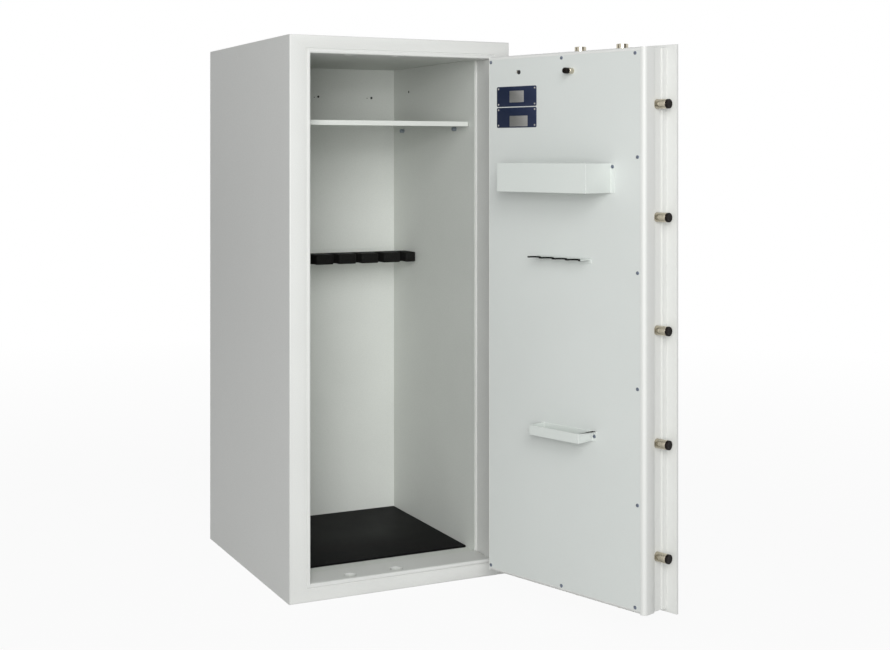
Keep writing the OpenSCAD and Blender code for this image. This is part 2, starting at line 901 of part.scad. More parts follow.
module plate_rivets() {
    y = door_in + rating_t;
    x1 = edge_x - rating_from_edge;
    color("#b9bdbf") on_door()
        for (top = rating_tops)
            for (x = [x1 - rating_w + rivet_in, x1 - rivet_in])
                for (z = [door_z1 - top - rating_h + rivet_in, door_z1 - top - rivet_in])
                    bar_y(x, y, y + rating_rivet_t, z, rating_rivet_r);
}

// Open-topped sheet box with a screwed ear at each end, on the inner cover; at is [from the hinge-side edge, down from the top].
module open_tray(at, w, h, d) {
    x1 = edge_x - at[0];
    z1 = door_z1 - at[1];
    difference() {
        union() {
            block([x1 - w, door_in, z1 - h], [x1, door_in + d, z1]);
            block([x1 - w - tray_ear, door_in, z1 - h], [x1 + tray_ear, door_in + tray_t, z1]);
        }
        block([x1 - w + tray_t, door_in + tray_t, z1 - h + tray_t],
            [x1 - tray_t, door_in + d - tray_t, z1 + cut]);
    }
}

module document_tray() {
    color("#dfe2e1") on_door() open_tray(tray_at, tray_w, tray_h, tray_d);
}

module small_tray() {
    color("#dfe2e1") on_door() open_tray(small_at, small_w, small_h, small_d);
}

// Plate with a scalloped front edge for cleaning rods, welded to the cover by two tabs.
module rod_holder() {
    x1 = edge_x - rod_at[0];
    z1 = door_z1 - rod_at[1];
    pitch = rod_w / scallops;
    y1 = door_in + rod_d;
    color("#dfe2e1") on_door() {
        difference() {
            block([x1 - rod_w, door_in, z1 - rod_t], [x1, y1, z1]);
            for (i = [0 : scallops - 1])
                bar_z(x1 - (i + 0.5) * pitch, y1, z1 - rod_t - cut, z1 + cut, scallop_r);
        }
        for (x = [x1 - rod_w, x1 - rod_tab])
            block([x, door_in, z1 - rod_drop], [x + rod_tab, door_in + tray_t, z1]);
    }
}

// Two screws that hold the ears of a tray at the cover.
module screw_pair(at, w, down) {
    y = door_in + tray_t;
    for (x = [edge_x - at[0] + tray_ear / 2, edge_x - at[0] - w - tray_ear / 2])
        bar_y(x, y, y + screw_t, door_z1 - at[1] - down, screw_r);
}

module tray_screws() {
    color("#b9bdbf") on_door() {
        screw_pair(tray_at, tray_w, screw_r + 3.5);
        screw_pair(small_at, small_w, small_h / 2);
    }
}

module panel_stud() {
    color("#c9cccd") on_door()
        bar_y(edge_x - stud_at[0], door_in, door_in + stud_l, door_z1 - stud_at[1], stud_r);
}

// Flanged bronze bush for a bolt of radius r; drawn along +z from the sheet's outer face.
module bush(r, flange) {
    difference() {
        union() {
            cylinder(r = r + bush_shell, h = door_sheet + bush_in);
            translate([0, 0, door_sheet]) cylinder(r = r + bush_shell + flange, h = bush_flange_t);
        }
        translate([0, 0, -cut]) cylinder(r = r + slip, h = door_sheet + bush_in + 2 * cut);
    }
}

module side_bolt_bushes() {
    color("#b08d4f") on_door()
        for (z = bolt_zs)
            translate([lock_x + post_channel, bolt_y, z]) rotate([0, 90, 0])
                bush(bolt_r, side_bush_flange);
}

module end_bolt_bushes() {
    color("#b08d4f") on_door()
        for (x = end_bolt_xs) {
            translate([x, bolt_y, door_z0]) bush(end_bolt_r, end_bush_flange);
            translate([x, bolt_y, door_z1]) mirror([0, 0, 1]) bush(end_bolt_r, end_bush_flange);
        }
}

// Blocks on the boltwork plate that keep the two links straight.
module bar_guides() {
    half = link_w / 2 + loose;
    color("#8d9092") on_door()
        for (s = [-1, 1])
            translate([handle_x, 0, handle_z + s * guide_from_cam])
                difference() {
                    block([-half - guide_wall, link_y0 - 2, -guide_l / 2],
                        [half + guide_wall, works_y1, guide_l / 2]);
                    block([-half, link_y0 - 2 - cut, -guide_l / 2 - cut],
                        [half, link_y1 + loose, guide_l / 2 + cut]);
                }
}

// Key lock on the boltwork plate, with the way for the key and for its drawn bolt.
module lock_case() {
    bolt_z = key_z - lock_bolt_h / 2;
    color("#7d8285") on_door()
        difference() {
            block([case_x0, case_y0, case_z0], [case_x0 + case_w, works_y1, case_z0 + case_h]);
            bar_y(key_x, case_y0 - cut, works_y1 - 5, key_z, key_hole_r);
            block([case_x0 - cut, lock_bolt_y0 - loose, bolt_z - loose],
                [case_x0 + lock_bolt_in + loose, lock_bolt_y1 + loose, bolt_z + lock_bolt_h + loose]);
        }
}

module lock_bolt() {
    bolt_z = key_z - lock_bolt_h / 2;
    color("#c2a25a") on_door()
        block([case_x0 - lock_bolt_out, lock_bolt_y0, bolt_z],
            [case_x0 + lock_bolt_in, lock_bolt_y1, bolt_z + lock_bolt_h]);
}

module lock_screws() {
    color("#b9bdbf") on_door()
        for (x = [case_x0 + case_screw_in, case_x0 + case_w - case_screw_in])
            for (z = [case_z0 + case_screw_in, case_z0 + case_h - case_screw_in])
                bar_y(x, case_y0 - 3, case_y0, z, case_screw_r);
}

module handle_rose() {
    color("#3a3c3e") on_door()
        difference() {
            bar_y(handle_x, rose_y, plate_y0, handle_z, rose_r);
            bar_y(handle_x, rose_y - cut, plate_y0 + cut, handle_z, spindle_r + slip);
        }
}

// Plate around the keyhole, with a boss above it for the swinging cover.
module key_escutcheon() {
    y0 = plate_y0 - scutcheon_t;
    color("#3a3c3e") on_door()
        difference() {
            union() {
                bar_y(key_x, y0, plate_y0, key_z, scutcheon_r);
                bar_y(key_x, y0, plate_y0, key_z + pivot_up, pivot_head_r + 3);
                block([key_x - pivot_head_r - 3, y0, key_z],
                    [key_x + pivot_head_r + 3, plate_y0, key_z + pivot_up]);
            }
            bar_y(key_x, y0 - cut, plate_y0 + cut, key_z, key_hole_r);
        }
}

module key_cover_rivet() {
    y0 = plate_y0 - scutcheon_t;
    color("#b9bdbf") on_door() {
        bar_y(key_x, y0 - cover_t - 0.2, y0, key_z + pivot_up, pivot_r);
        bar_y(key_x, y0 - cover_t - 0.2 - pivot_head_t, y0 - cover_t - 0.2,
            key_z + pivot_up, pivot_head_r);
    }
}

// Upper knuckles with their leaves on the outer plate; they lift off the pins.
module door_hinges() {
    color("#dfe1df") on_door()
        for (z = hinge_zs) {
            low = z + washer_t / 2;
            difference() {
                union() {
                    bar_z(hinge_x, hinge_y, low, low + knuckle_l, knuckle_r);
                    block([hinge_x - leaf_w, plate_y0 - leaf_t, low],
                        [hinge_x, plate_y0, low + knuckle_l]);
                }
                bar_z(hinge_x, hinge_y, low - cut, low + knuckle_l - pin_top_gap,
                    hinge_pin_r + slip);
            }
        }
}

// ---- Handle with the cam disc ----

// Lever with a hub; the arm narrows towards its round end.
module handle_lever() {
    arm_y1 = hub_y + lever_t;
    spindle_y = hub_y + 10;
    color("#2a2c2e") on_door()
        translate([handle_x, 0, handle_z])
            difference() {
                union() {
                    bar_y(0, hub_y, rose_y - loose, 0, hub_r);
                    translate([0, arm_y1, 0]) rotate([90, 0, 0]) linear_extrude(lever_t) {
                        polygon([[0, lever_w0], [lever_l, lever_w1],
                            [lever_l, -lever_w1], [0, -lever_w0]]);
                        translate([lever_l, 0]) circle(lever_w1);
                    }
                }
                bar_y(0, spindle_y, rose_y + cut, 0, spindle_r + slip);
                bar_y(0, hub_y - cut, spindle_y + cut, 0, handle_screw_r + slip);
            }
}

module handle_spindle() {
    color("#c9cccd") on_door()
        bar_y(handle_x, hub_y + 10, board_y0, handle_z, spindle_r);
}

module handle_screw() {
    color("#b9bdbf") on_door() {
        bar_y(handle_x, hub_y - handle_screw_t, hub_y, handle_z, handle_screw_head);
        bar_y(handle_x, hub_y - handle_screw_t, hub_y + 10, handle_z, handle_screw_r);
    }
}

// Radius of a slot's centre line: it falls evenly from r0 by drop over the handle's turn.
function slot_r(r0, drop, a) = r0 - drop * a / handle_turn;

// Direction square to the slot's centre line, outward, at the turn a.
function slot_out(r0, drop, from, a) =
    from + a - atan2(-drop * 180 / (handle_turn * PI), slot_r(r0, drop, a));

// Point at the given distance from the centre line, in the direction out.
function slot_point(r0, drop, from, a, reach, out) =
    slot_r(r0, drop, a) * [cos(from + a), sin(from + a)] + reach * [cos(out), sin(out)];

// Slot in which a pin at the angle from is drawn in by drop as the disc turns.
module cam_slot(r0, drop, from) {
    half = cam_pin_r + loose;
    steps = 24;
    end_step = 15;
    turns = [for (i = [0 : steps]) i * handle_turn / steps];
    back = [for (i = [0 : steps]) (steps - i) * handle_turn / steps];
    out_0 = slot_out(r0, drop, from, 0);
    out_1 = slot_out(r0, drop, from, handle_turn);
    polygon(concat(
        [for (a = turns) slot_point(r0, drop, from, a, half, slot_out(r0, drop, from, a))],
        [for (t = [end_step : end_step : 180 - end_step])
            slot_point(r0, drop, from, handle_turn, half, out_1 + t)],
        [for (a = back) slot_point(r0, drop, from, a, -half, slot_out(r0, drop, from, a))],
        [for (t = [180 + end_step : end_step : 360 - end_step])
            slot_point(r0, drop, from, 0, half, out_0 + t)]
    ));
}

module cam_disc() {
    color("#8d9092") on_door()
        translate([handle_x, cam_y0 + cam_t, handle_z]) rotate([90, 0, 0])
            difference() {
                union() {
                    linear_extrude(cam_t)
                        difference() {
                            circle(cam_r, $fn = 128);
                            cam_slot(end_slot_r, end_travel, 90);
                            cam_slot(side_slot_r, side_travel, 180);
                            cam_slot(end_slot_r, end_travel, 270);
                        }
                    cylinder(r = collar_r, h = cam_t + collar_t);
                }
                translate([0, 0, -cut])
                    cylinder(r = spindle_r + slip, h = cam_t + collar_t + 2 * cut);
            }
}

// ---- Bolts, drawn thrown ----

// Upright bar that carries the side bolts, with its arm and the pin in the cam slot.
module side_bolt_bar() {
    pin_x = handle_x - side_slot_r;
    color("#9aa0a3") on_door() {
        difference() {
            block([side_bar_x, bar_y0, bolt_zs[0] - bar_over],
                [side_bar_x + bar_t, bar_y1, bolt_zs[bolt_count - 1] + bar_over]);
            for (z = bolt_zs)
                bar_x(side_bar_x - cut, side_bar_x + bar_t + cut, bolt_y, z, spigot_r + slip);
        }
        block([side_bar_x + bar_t, link_y0, handle_z - link_w / 2],
            [pin_x + link_end, link_y1, handle_z + link_w / 2]);
        bar_y(pin_x, link_y0, pin_y1, handle_z, cam_pin_r);
    }
}

module side_bolts() {
    color("#d5d8da") on_door()
        for (z = bolt_zs) {
            bar_x(lock_x - side_throw + tip_t, side_bar_x, bolt_y, z, bolt_r);
            bar_x(side_bar_x - cut, side_bar_x + bar_t + rivet_t, bolt_y, z, spigot_r);
            bar_x(side_bar_x + bar_t, side_bar_x + bar_t + rivet_t, bolt_y, z, rivet_r);
        }
}

module side_bolt_tips() {
    color("#222325") on_door()
        for (z = bolt_zs)
            bar_x(lock_x - side_throw, lock_x - side_throw + tip_t, bolt_y, z, bolt_r);
}

// Cross bar of the top bolts, with the link down to the cam.
module end_bar() {
    bar_z1 = door_z1 - end_bar_in;
    pin_z = handle_z + end_slot_r;
    color("#9aa0a3") {
        difference() {
            block([end_bolt_xs[0] - end_bar_over, bar_y0, bar_z1 - end_bar_t],
                [end_bolt_xs[1] + end_bar_over, bar_y1, bar_z1]);
            for (x = end_bolt_xs)
                bar_z(x, bolt_y, bar_z1 - end_bar_t - cut, bar_z1 + cut, spigot_r + slip);
        }
        block([handle_x - link_w / 2, link_y0, pin_z - link_end],
            [handle_x + link_w / 2, link_y1, bar_z1 - end_bar_t]);
        bar_y(handle_x, link_y0, pin_y1, pin_z, cam_pin_r);
    }
}

// Bolt standing on the bar at z0, thrown to z1, with its riveted end under the bar.
module end_bolt(x, z0, z1) {
    bar_z(x, bolt_y, z0, z1, end_bolt_r);
    bar_z(x, bolt_y, z0 - end_bar_t - rivet_t, z0 + cut, spigot_r);
    bar_z(x, bolt_y, z0 - end_bar_t - rivet_t, z0 - end_bar_t, rivet_r);
}

module top_bolt_bar() {
    on_door() end_bar();
}

module top_bolts() {
    color("#d5d8da") on_door()
        for (x = end_bolt_xs)
            end_bolt(x, door_z1 - end_bar_in, door_z1 + end_throw);
}

// The lower half hangs at its own distance below the handle's axis.
module bottom_bolt_bar() {
    bar_z0 = door_z0 + end_bar_in;
    pin_z = handle_z - end_slot_r;
    color("#9aa0a3") on_door() {
        difference() {
            block([end_bolt_xs[0] - end_bar_over, bar_y0, bar_z0],
                [end_bolt_xs[1] + end_bar_over, bar_y1, bar_z0 + end_bar_t]);
            for (x = end_bolt_xs)
                bar_z(x, bolt_y, bar_z0 - cut, bar_z0 + end_bar_t + cut, spigot_r + slip);
        }
        block([handle_x - link_w / 2, link_y0, bar_z0 + end_bar_t],
            [handle_x + link_w / 2, link_y1, pin_z + link_end]);
        bar_y(handle_x, link_y0, pin_y1, pin_z, cam_pin_r);
    }
}

module bottom_bolts() {
    color("#d5d8da") on_door() upside_down()
        for (x = end_bolt_xs)
            end_bolt(x, door_z1 - end_bar_in, door_z1 + end_throw);
}

// ---- Keyhole cover ----

module keyhole_cover() {
    y1 = plate_y0 - scutcheon_t - 0.1;
    color("#c9cccd") on_door()
        translate([key_x, 0, key_z])
            difference() {
                union() {
                    bar_y(0, y1 - cover_t, y1, 0, key_cover_r);
                    block([-key_cover_neck, y1 - cover_t, 0], [key_cover_neck, y1, pivot_up]);
                    bar_y(0, y1 - cover_t, y1, pivot_up, key_cover_neck);
                }
                bar_y(0, y1 - cover_t - cut, y1 + cut, pivot_up, pivot_r + slip);
            }
}

outer_shell();
front_frame();
back_panel();
barrier_fill();
frame_fill();
inner_liner();
lock_jamb();
hinge_jamb();
lintel_plate();
sill_plate();
bolt_cups();
shelf();
shelf_pins();
rack_bracket();
barrel_comb();
rack_screws();
floor_mat();
frame_hinges();
hinge_pins();
hinge_washers();
door_plate();
door_barrier();
lock_side_post();
hinge_side_post();
door_top_rail();
door_bottom_rail();
boltwork_plate();
door_insulation();
inner_cover();
cover_screws();
rating_plates();
plate_windows();
plate_rivets();
document_tray();
small_tray();
rod_holder();
tray_screws();
panel_stud();
side_bolt_bushes();
end_bolt_bushes();
bar_guides();
lock_case();
lock_bolt();
lock_screws();
handle_rose();
key_escutcheon();
key_cover_rivet();
door_hinges();
handle_lever();
handle_spindle();
cam_disc();
handle_screw();
side_bolt_bar();
side_bolts();
side_bolt_tips();
top_bolt_bar();
top_bolts();
bottom_bolt_bar();
bottom_bolts();
keyhole_cover();
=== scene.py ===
# %% [markdown]
# # A gun safe standing open
# The object is a tall welded steel gun safe, photographed from its front left with the door swung wide open.
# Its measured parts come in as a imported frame, already in place and already jointed.
# This lesson adds what a measured solid lacks: rolled edges, bent sheet, turned steel, and paint that reads as paint.
# Everything is in metres. X runs to the right along the front, Y runs into the cabinet and Z runs up.

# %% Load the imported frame
import json
import math

import bmesh
import bpy
import numpy as np
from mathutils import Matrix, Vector
from mathutils.bvhtree import BVHTree


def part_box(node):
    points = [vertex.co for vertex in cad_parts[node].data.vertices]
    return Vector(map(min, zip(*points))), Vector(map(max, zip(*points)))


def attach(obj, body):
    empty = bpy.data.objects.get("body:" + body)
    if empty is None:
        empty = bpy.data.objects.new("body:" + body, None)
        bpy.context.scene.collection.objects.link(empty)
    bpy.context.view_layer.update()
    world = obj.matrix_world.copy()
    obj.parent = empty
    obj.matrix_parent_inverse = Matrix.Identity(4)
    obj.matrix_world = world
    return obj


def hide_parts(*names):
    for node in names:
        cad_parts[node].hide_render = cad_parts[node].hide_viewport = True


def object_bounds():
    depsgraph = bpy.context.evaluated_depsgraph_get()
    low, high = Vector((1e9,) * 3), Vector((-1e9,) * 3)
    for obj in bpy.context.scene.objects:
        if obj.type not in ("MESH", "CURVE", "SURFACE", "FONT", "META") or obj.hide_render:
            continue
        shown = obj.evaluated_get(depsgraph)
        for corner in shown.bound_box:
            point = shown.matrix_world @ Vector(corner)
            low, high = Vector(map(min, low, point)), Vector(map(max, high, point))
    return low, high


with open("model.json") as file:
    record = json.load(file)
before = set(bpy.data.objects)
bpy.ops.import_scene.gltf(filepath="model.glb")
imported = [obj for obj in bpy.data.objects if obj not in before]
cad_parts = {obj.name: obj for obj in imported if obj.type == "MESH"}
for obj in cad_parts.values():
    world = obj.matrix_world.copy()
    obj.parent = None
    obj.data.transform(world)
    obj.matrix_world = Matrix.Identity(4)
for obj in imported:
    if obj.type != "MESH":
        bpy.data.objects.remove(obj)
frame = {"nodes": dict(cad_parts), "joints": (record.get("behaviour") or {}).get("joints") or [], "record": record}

nodes = frame["nodes"]
cad_box = [list(corner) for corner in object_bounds()]
print("the frame has", len(nodes), "nodes; its box is", cad_box)

# %% New objects
def new_object(name, data):
    """An object that holds the data, put into the scene at the origin and unturned."""
    item = bpy.data.objects.new(name, data)
    bpy.context.scene.collection.objects.link(item)
    return item


def new_mesh(name, points, faces):
    """A mesh from lists of points and faces."""
    mesh = bpy.data.meshes.new(name)
    mesh.from_pydata(points, [], faces)
    return mesh

# %% [markdown]
# ## The photograph's camera
# The upright edges of the safe stay upright in the picture, so the camera looked level.
# A camera tilted down would lean those edges, so this one stays level and the vertical shift lowers its frame.
# Lens, place and turn were solved from the corners of the cabinet and the door.
# A small sideways shift is left over, as the picture was cut from a larger one.

# %% Camera
W, H = 890, 650
L = max(W, H)
SENSOR_WIDTH = 36.0
LENS = 55.94
CAMERA_PLACE = (-1.599, -3.764, 1.181)
TURN_RIGHT = 25.23
SHIFT_X, SHIFT_Y = 0.043, -0.1905

camera_data = bpy.data.cameras.new("photo_camera")
camera_data.sensor_fit = "AUTO"
camera_data.sensor_width = SENSOR_WIDTH
camera_data.lens = LENS
camera_data.shift_x, camera_data.shift_y = SHIFT_X, SHIFT_Y
camera_data.clip_start, camera_data.clip_end = 0.05, 200.0
camera = new_object("photo_camera", camera_data)
camera.location = CAMERA_PLACE
camera.rotation_euler = (math.radians(90.0), 0.0, math.radians(-TURN_RIGHT))
bpy.context.scene.camera = camera
bpy.context.view_layer.update()
camera_turn = np.array(camera.matrix_world.to_3x3())
camera_eye = np.array(camera.matrix_world.translation)
print("camera at", CAMERA_PLACE, "turned", TURN_RIGHT, "degrees to the right")

# %% [markdown]
# ## Image points
# These are places read off the photograph, in its own pixels: the outer edges of the object and some features of it.
# They first settled the camera. They are kept so that the finished model can be measured against the picture at the
# end.
# The same ray that measures them also places the small things that no measured part stands for.

# %% Image points
edge_points = {"left": 210.5, "right": 678.9, "top": 32.7, "bottom": 616.2}
image_points = {
    "cabinet_front_top_left": (289.9, 32.7),
    "cabinet_front_bottom_left": (290.5, 602.0),
    "cabinet_front_top_right": (509.2, 44.2),
    "door_top_free_corner": (646.4, 46.5),
    "door_bottom_free_corner": (646.4, 616.2),
    "middle_side_bolt_end": (670.0, 331.0),
    "top_side_bolt_end": (670.0, 103.4),
    "bottom_side_bolt_end": (670.0, 559.4),
    "panel_stud_head": (564.3, 70.7),
    "panel_hole": (517.9, 72.0),
    "upper_plate": (517.2, 96.6),
    "lower_plate": (517.0, 117.5),
    "document_tray_front": (541.4, 178.7),
    "rod_holder_front": (555.0, 257.8),
    "small_tray_front": (554.2, 433.7),
    "middle_cover_screw": (638.0, 273.2),
}


def to_pixels(points):
    """Pixels of places: x = W/2 - shift_x L - a k / c and y = H/2 + shift_y L + b k / c.

    In camera axes a is right, b is up and c is back, and k is L times lens over sensor width.
    """
    a, b, c = ((np.asarray(points, float).reshape(-1, 3) - camera_eye) @ camera_turn).T
    k = L * LENS / SENSOR_WIDTH
    return np.stack([W / 2 - SHIFT_X * L - a * k / c, H / 2 + SHIFT_Y * L + b * k / c], 1)


def ray_through(x, y):
    """The ray from the eye along (x - W/2 + shift_x L, H/2 - y + shift_y L, -L lens / sensor width).

    Those are camera axes, and the ray is turned into the object's frame.
    """
    along = np.array([x - W / 2 + SHIFT_X * L, H / 2 - y + SHIFT_Y * L, -L * LENS / SENSOR_WIDTH])
    return Vector(camera_eye), Vector(camera_turn @ along).normalized()


def place_on(x, y, carrier):
    """Where the ray through (x, y) meets the carrier, and its normal there. A miss takes the point nearest the ray."""
    graph = bpy.context.evaluated_depsgraph_get()
    ready = carrier.evaluated_get(graph)
    tree = BVHTree.FromObject(carrier, graph)
    eye, along = ray_through(x, y)
    spot, normal, _, _ = tree.ray_cast(eye, along)
    if spot is None:
        corners = np.array([v.co for v in ready.data.vertices]) - np.array(eye)
        run = np.maximum(corners @ np.array(along), 0)
        near = np.argmin(np.linalg.norm(corners - run[:, None] * np.array(along), axis=1))
        spot, normal, _, _ = tree.find_nearest(Vector(corners[near] + np.array(eye)))
    return np.array(spot), np.array(normal)


print(len(image_points), "feature points and", len(edge_points), "edges")

# %% [markdown]
# ## Floor, backdrop and light
# The photograph is a cut-out on white, lit softly from the front and a little from the left.
# The front face and the door's edge are therefore the brightest.
# A white sweep could be had by flooding it with lamps, but that would burn out the pale paint.
# Here the floor is pale paint that also glows evenly to the camera, so it stays white and keeps a soft shadow.
# The world gives the soft all-round light, and it is plain white only to the camera, to gloss and to glass.

# %% Small helpers for node trees
def linear(r, g, b):
    """A screen colour of 0 to 255 as a shader's linear colour: ((c + 0.055) / 1.055) ^ 2.4, or c / 12.92 near black."""
    c = np.array([r, g, b]) / 255.0
    return tuple(np.where(c <= 0.04045, c / 12.92, ((c + 0.055) / 1.055) ** 2.4)) + (1.0,)


def plug(tree, value, socket):
    """Gives a socket a plain value, or joins another node's output to it."""
    if isinstance(value, bpy.types.NodeSocket):
        tree.links.new(value, socket)
    else:
        socket.default_value = value


def add(tree, kind, inputs=None, **settings):
    """One node in a tree, with its settings. Each input takes a plain value or another node's output."""
    item = tree.nodes.new("ShaderNode" + kind)
    for key, value in settings.items():
        setattr(item, key, value)
    for key, value in (inputs or {}).items():
        plug(tree, value, item.inputs[key])
    return item


def calc(tree, operation, *values):
    """The result of one Math node."""
    return add(tree, "Math", dict(enumerate(values)), operation=operation).outputs[0]


def blend(tree, share, first, second):
    """A colour between first and second."""
    sides = {0: share, 6: first, 7: second}
    return add(tree, "Mix", sides, data_type="RGBA", blend_type="MIX", clamp_result=True).outputs[2]


def ramp(tree, source, low, high, to_low, to_high):
    """A value that runs from to_low to to_high as the source runs from low to high, held outside."""
    return add(tree, "MapRange", {0: source, 1: low, 2: high, 3: to_low, 4: to_high}, clamp=True).outputs[0]


def new_material(name):
    """A material with an empty node tree."""
    made = bpy.data.materials.new(name)
    made.use_nodes = True
    made.node_tree.nodes.clear()
    return made, made.node_tree


# %% White sweep
SWEEP_SIDE, SWEEP_BACK = 40, 60
GLOW_NEAR, GLOW_FAR = 0.94, 1.0
NEAR, FAR = 1.4, 5.0


def white_sweep_material():
    """Pale paint under an even glow that only the camera and reflections see. The glow's share grows with distance."""
    made, tree = new_material("white_sweep")
    path = add(tree, "LightPath").outputs
    where = add(tree, "TexCoord").outputs["Object"]
    grain = add(tree, "TexNoise", {"Vector": where, "Scale": 6.0, "Detail": 3.0}).outputs[0]
    tone = blend(tree, ramp(tree, grain, 0.3, 0.7, 0, 1), linear(176, 176, 175), linear(184, 184, 183))
    away = add(tree, "VectorMath", {0: where}, operation="LENGTH").outputs["Value"]
    seen = calc(tree, "MAXIMUM", path["Is Camera Ray"], path["Is Glossy Ray"])
    share = calc(tree, "MULTIPLY", seen, ramp(tree, away, NEAR, FAR, GLOW_NEAR, GLOW_FAR))
    matt = add(tree, "BsdfPrincipled", {"Base Color": tone, "Roughness": 0.9, "Specular IOR Level": 0.1})
    glow = add(tree, "Emission", {"Color": (1, 1, 1, 1), "Strength": 1.0})
    mix = add(tree, "MixShader", {0: share, 1: matt.outputs[0], 2: glow.outputs[0]})
    add(tree, "OutputMaterial", {"Surface": mix.outputs[0]})
    return made


floor_low = cad_box[0][2]
corners = ((-SWEEP_SIDE, -SWEEP_SIDE), (SWEEP_SIDE, -SWEEP_SIDE), (SWEEP_SIDE, SWEEP_BACK), (-SWEEP_SIDE, SWEEP_BACK))
floor = new_object("floor", new_mesh("floor", [(x, y, floor_low) for x, y in corners], [(0, 1, 2, 3)]))
floor.data.materials.append(white_sweep_material())
print("floor at", floor_low)

# %% World
SOFT_LIGHT = 0.37
world = bpy.data.worlds.new("soft_white")
bpy.context.scene.world = world
world.use_nodes = True
tree = world.node_tree
tree.nodes.clear()
path = add(tree, "LightPath").outputs
seen = calc(tree, "MAXIMUM", path["Is Camera Ray"], path["Is Glossy Ray"])
plain = calc(tree, "MAXIMUM", seen, path["Is Transmission Ray"])
soft = add(tree, "Background", {"Color": (0.97, 0.985, 1.0, 1), "Strength": SOFT_LIGHT})
white = add(tree, "Background", {"Color": (1, 1, 1, 1), "Strength": 1.0})
mix = add(tree, "MixShader", {0: plain, 1: soft.outputs[0], 2: white.outputs[0]})
add(tree, "OutputWorld", {"Surface": mix.outputs[0]})
print("the world lights softly at", SOFT_LIGHT)


# %% Lamps and flags
def softbox(name, place, aim, size, power):
    """A square area lamp at a place, facing another place."""
    lamp = bpy.data.lights.new(name, "AREA")
    lamp.shape, lamp.size, lamp.energy = "SQUARE", size, power
    item = new_object(name, lamp)
    item.location = place
    item.rotation_euler = (Vector(aim) - Vector(place)).to_track_quat("-Z", "Y").to_euler()


softbox("key_softbox", (-1.7, -5.1, 3.0), (0.1, 0.0, 0.8), size=2.4, power=116.0)
softbox("front_softbox", (-2.4, -4.7, 1.3), (0.1, 0.0, 0.9), size=1.8, power=116.0)


def dark_flag(name, corners):
    """A black card that only reflections see, so that bright metal shows a dark line beside its highlight."""
    item = new_object(name, new_mesh(name, corners, [(0, 1, 2, 3)]))
    made = bpy.data.materials.new(name)
    made.use_nodes = True
    made.node_tree.nodes["Principled BSDF"].inputs["Base Color"].default_value = (0.01, 0.01, 0.01, 1)
    item.data.materials.append(made)
    item.visible_camera = item.visible_diffuse = item.visible_shadow = item.visible_transmission = False
    return item


studio = [floor,
          dark_flag("left_flag", [(-5.0, 0.5, 0.0), (-5.0, 2.6, 0.0), (-5.0, 2.6, 4.0), (-5.0, 0.5, 4.0)]),
          dark_flag("right_flag", [(0.6, -6.0, 0.0), (3.6, -5.0, 0.0), (3.6, -5.0, 4.5), (0.6, -6.0, 4.5)])]
bpy.context.scene.view_settings.view_transform = "Standard"
print("two soft lamps and", len(studio) - 1, "flags")

# %% [markdown]
# ## Effects that several finishes share
# Powder paint is baked dust, so it has a fine pebbled skin. Turned steel has rings and rolled sheet has long streaks.
# Everything gathers a little dust on its upper faces.
# Each could be drawn again in every material. A node group draws it once, and each finish gives it sizes and strengths.
# The groups give out only colours, masks and heights. The shader stays in the material, so a finish can be baked.

# %% A node group with named sockets
def effect(name, inputs, outputs):
    """An empty node group and its given sockets. Inputs are (name, kind, start value), outputs (name, kind)."""
    group = bpy.data.node_groups.new(name, "ShaderNodeTree")
    for title, kind, start in inputs:
        socket = group.interface.new_socket(name=title, in_out="INPUT", socket_type="NodeSocket" + kind)
        if start is not None:
            socket.default_value = start
    for title, kind in outputs:
        group.interface.new_socket(name=title, in_out="OUTPUT", socket_type="NodeSocket" + kind)
    return group, group.nodes.new("NodeGroupInput").outputs


def hand_out(group, **outputs):
    """Joins what the group gives out."""
    out = group.nodes.new("NodeGroupOutput").inputs
    for key, value in outputs.items():
        group.links.new(value, out[key])
    print("effect", group.name, "gives", list(outputs))


# %% Pebbled powder paint
pebbled_paint, given = effect(
    "pebbled_paint",
    [("Vector", "Vector", None), ("Paint", "Color", (0.7, 0.7, 0.68, 1)), ("Pebbles per metre", "Float", 620.0),
     ("Cloud tone", "Float", 0.03), ("Fleck", "Float", 0.03)],
    [("Color", "Color"), ("Roughness", "Float"), ("Height", "Float")])
fine = {"Vector": given["Vector"], "Scale": given["Pebbles per metre"]}
coarse = {"Vector": given["Vector"], "Scale": 3.1, "Detail": 3.0, "Roughness": 0.55}
pebbles = add(pebbled_paint, "TexNoise", {**fine, "Detail": 2.5, "Roughness": 0.6}).outputs[0]
cells = add(pebbled_paint, "TexVoronoi", {**fine, "Randomness": 1.0}, feature="SMOOTH_F1").outputs["Distance"]
clouds = add(pebbled_paint, "TexNoise", coarse).outputs[0]
fleck, cloud = [ramp(pebbled_paint, noise, 0.3, 0.7, -1.0, 1.0) for noise in (pebbles, clouds)]
flecked = calc(pebbled_paint, "MULTIPLY_ADD", fleck, given["Fleck"], 1.0)
tone = calc(pebbled_paint, "MULTIPLY_ADD", cloud, given["Cloud tone"], flecked)
hand_out(pebbled_paint, Roughness=ramp(pebbled_paint, clouds, 0.3, 0.7, 0.44, 0.56),
         Height=calc(pebbled_paint, "ADD", pebbles, calc(pebbled_paint, "MULTIPLY", cells, 0.55)),
         Color=add(pebbled_paint, "VectorMath", {0: given["Paint"], "Scale": tone}, operation="SCALE").outputs[0])

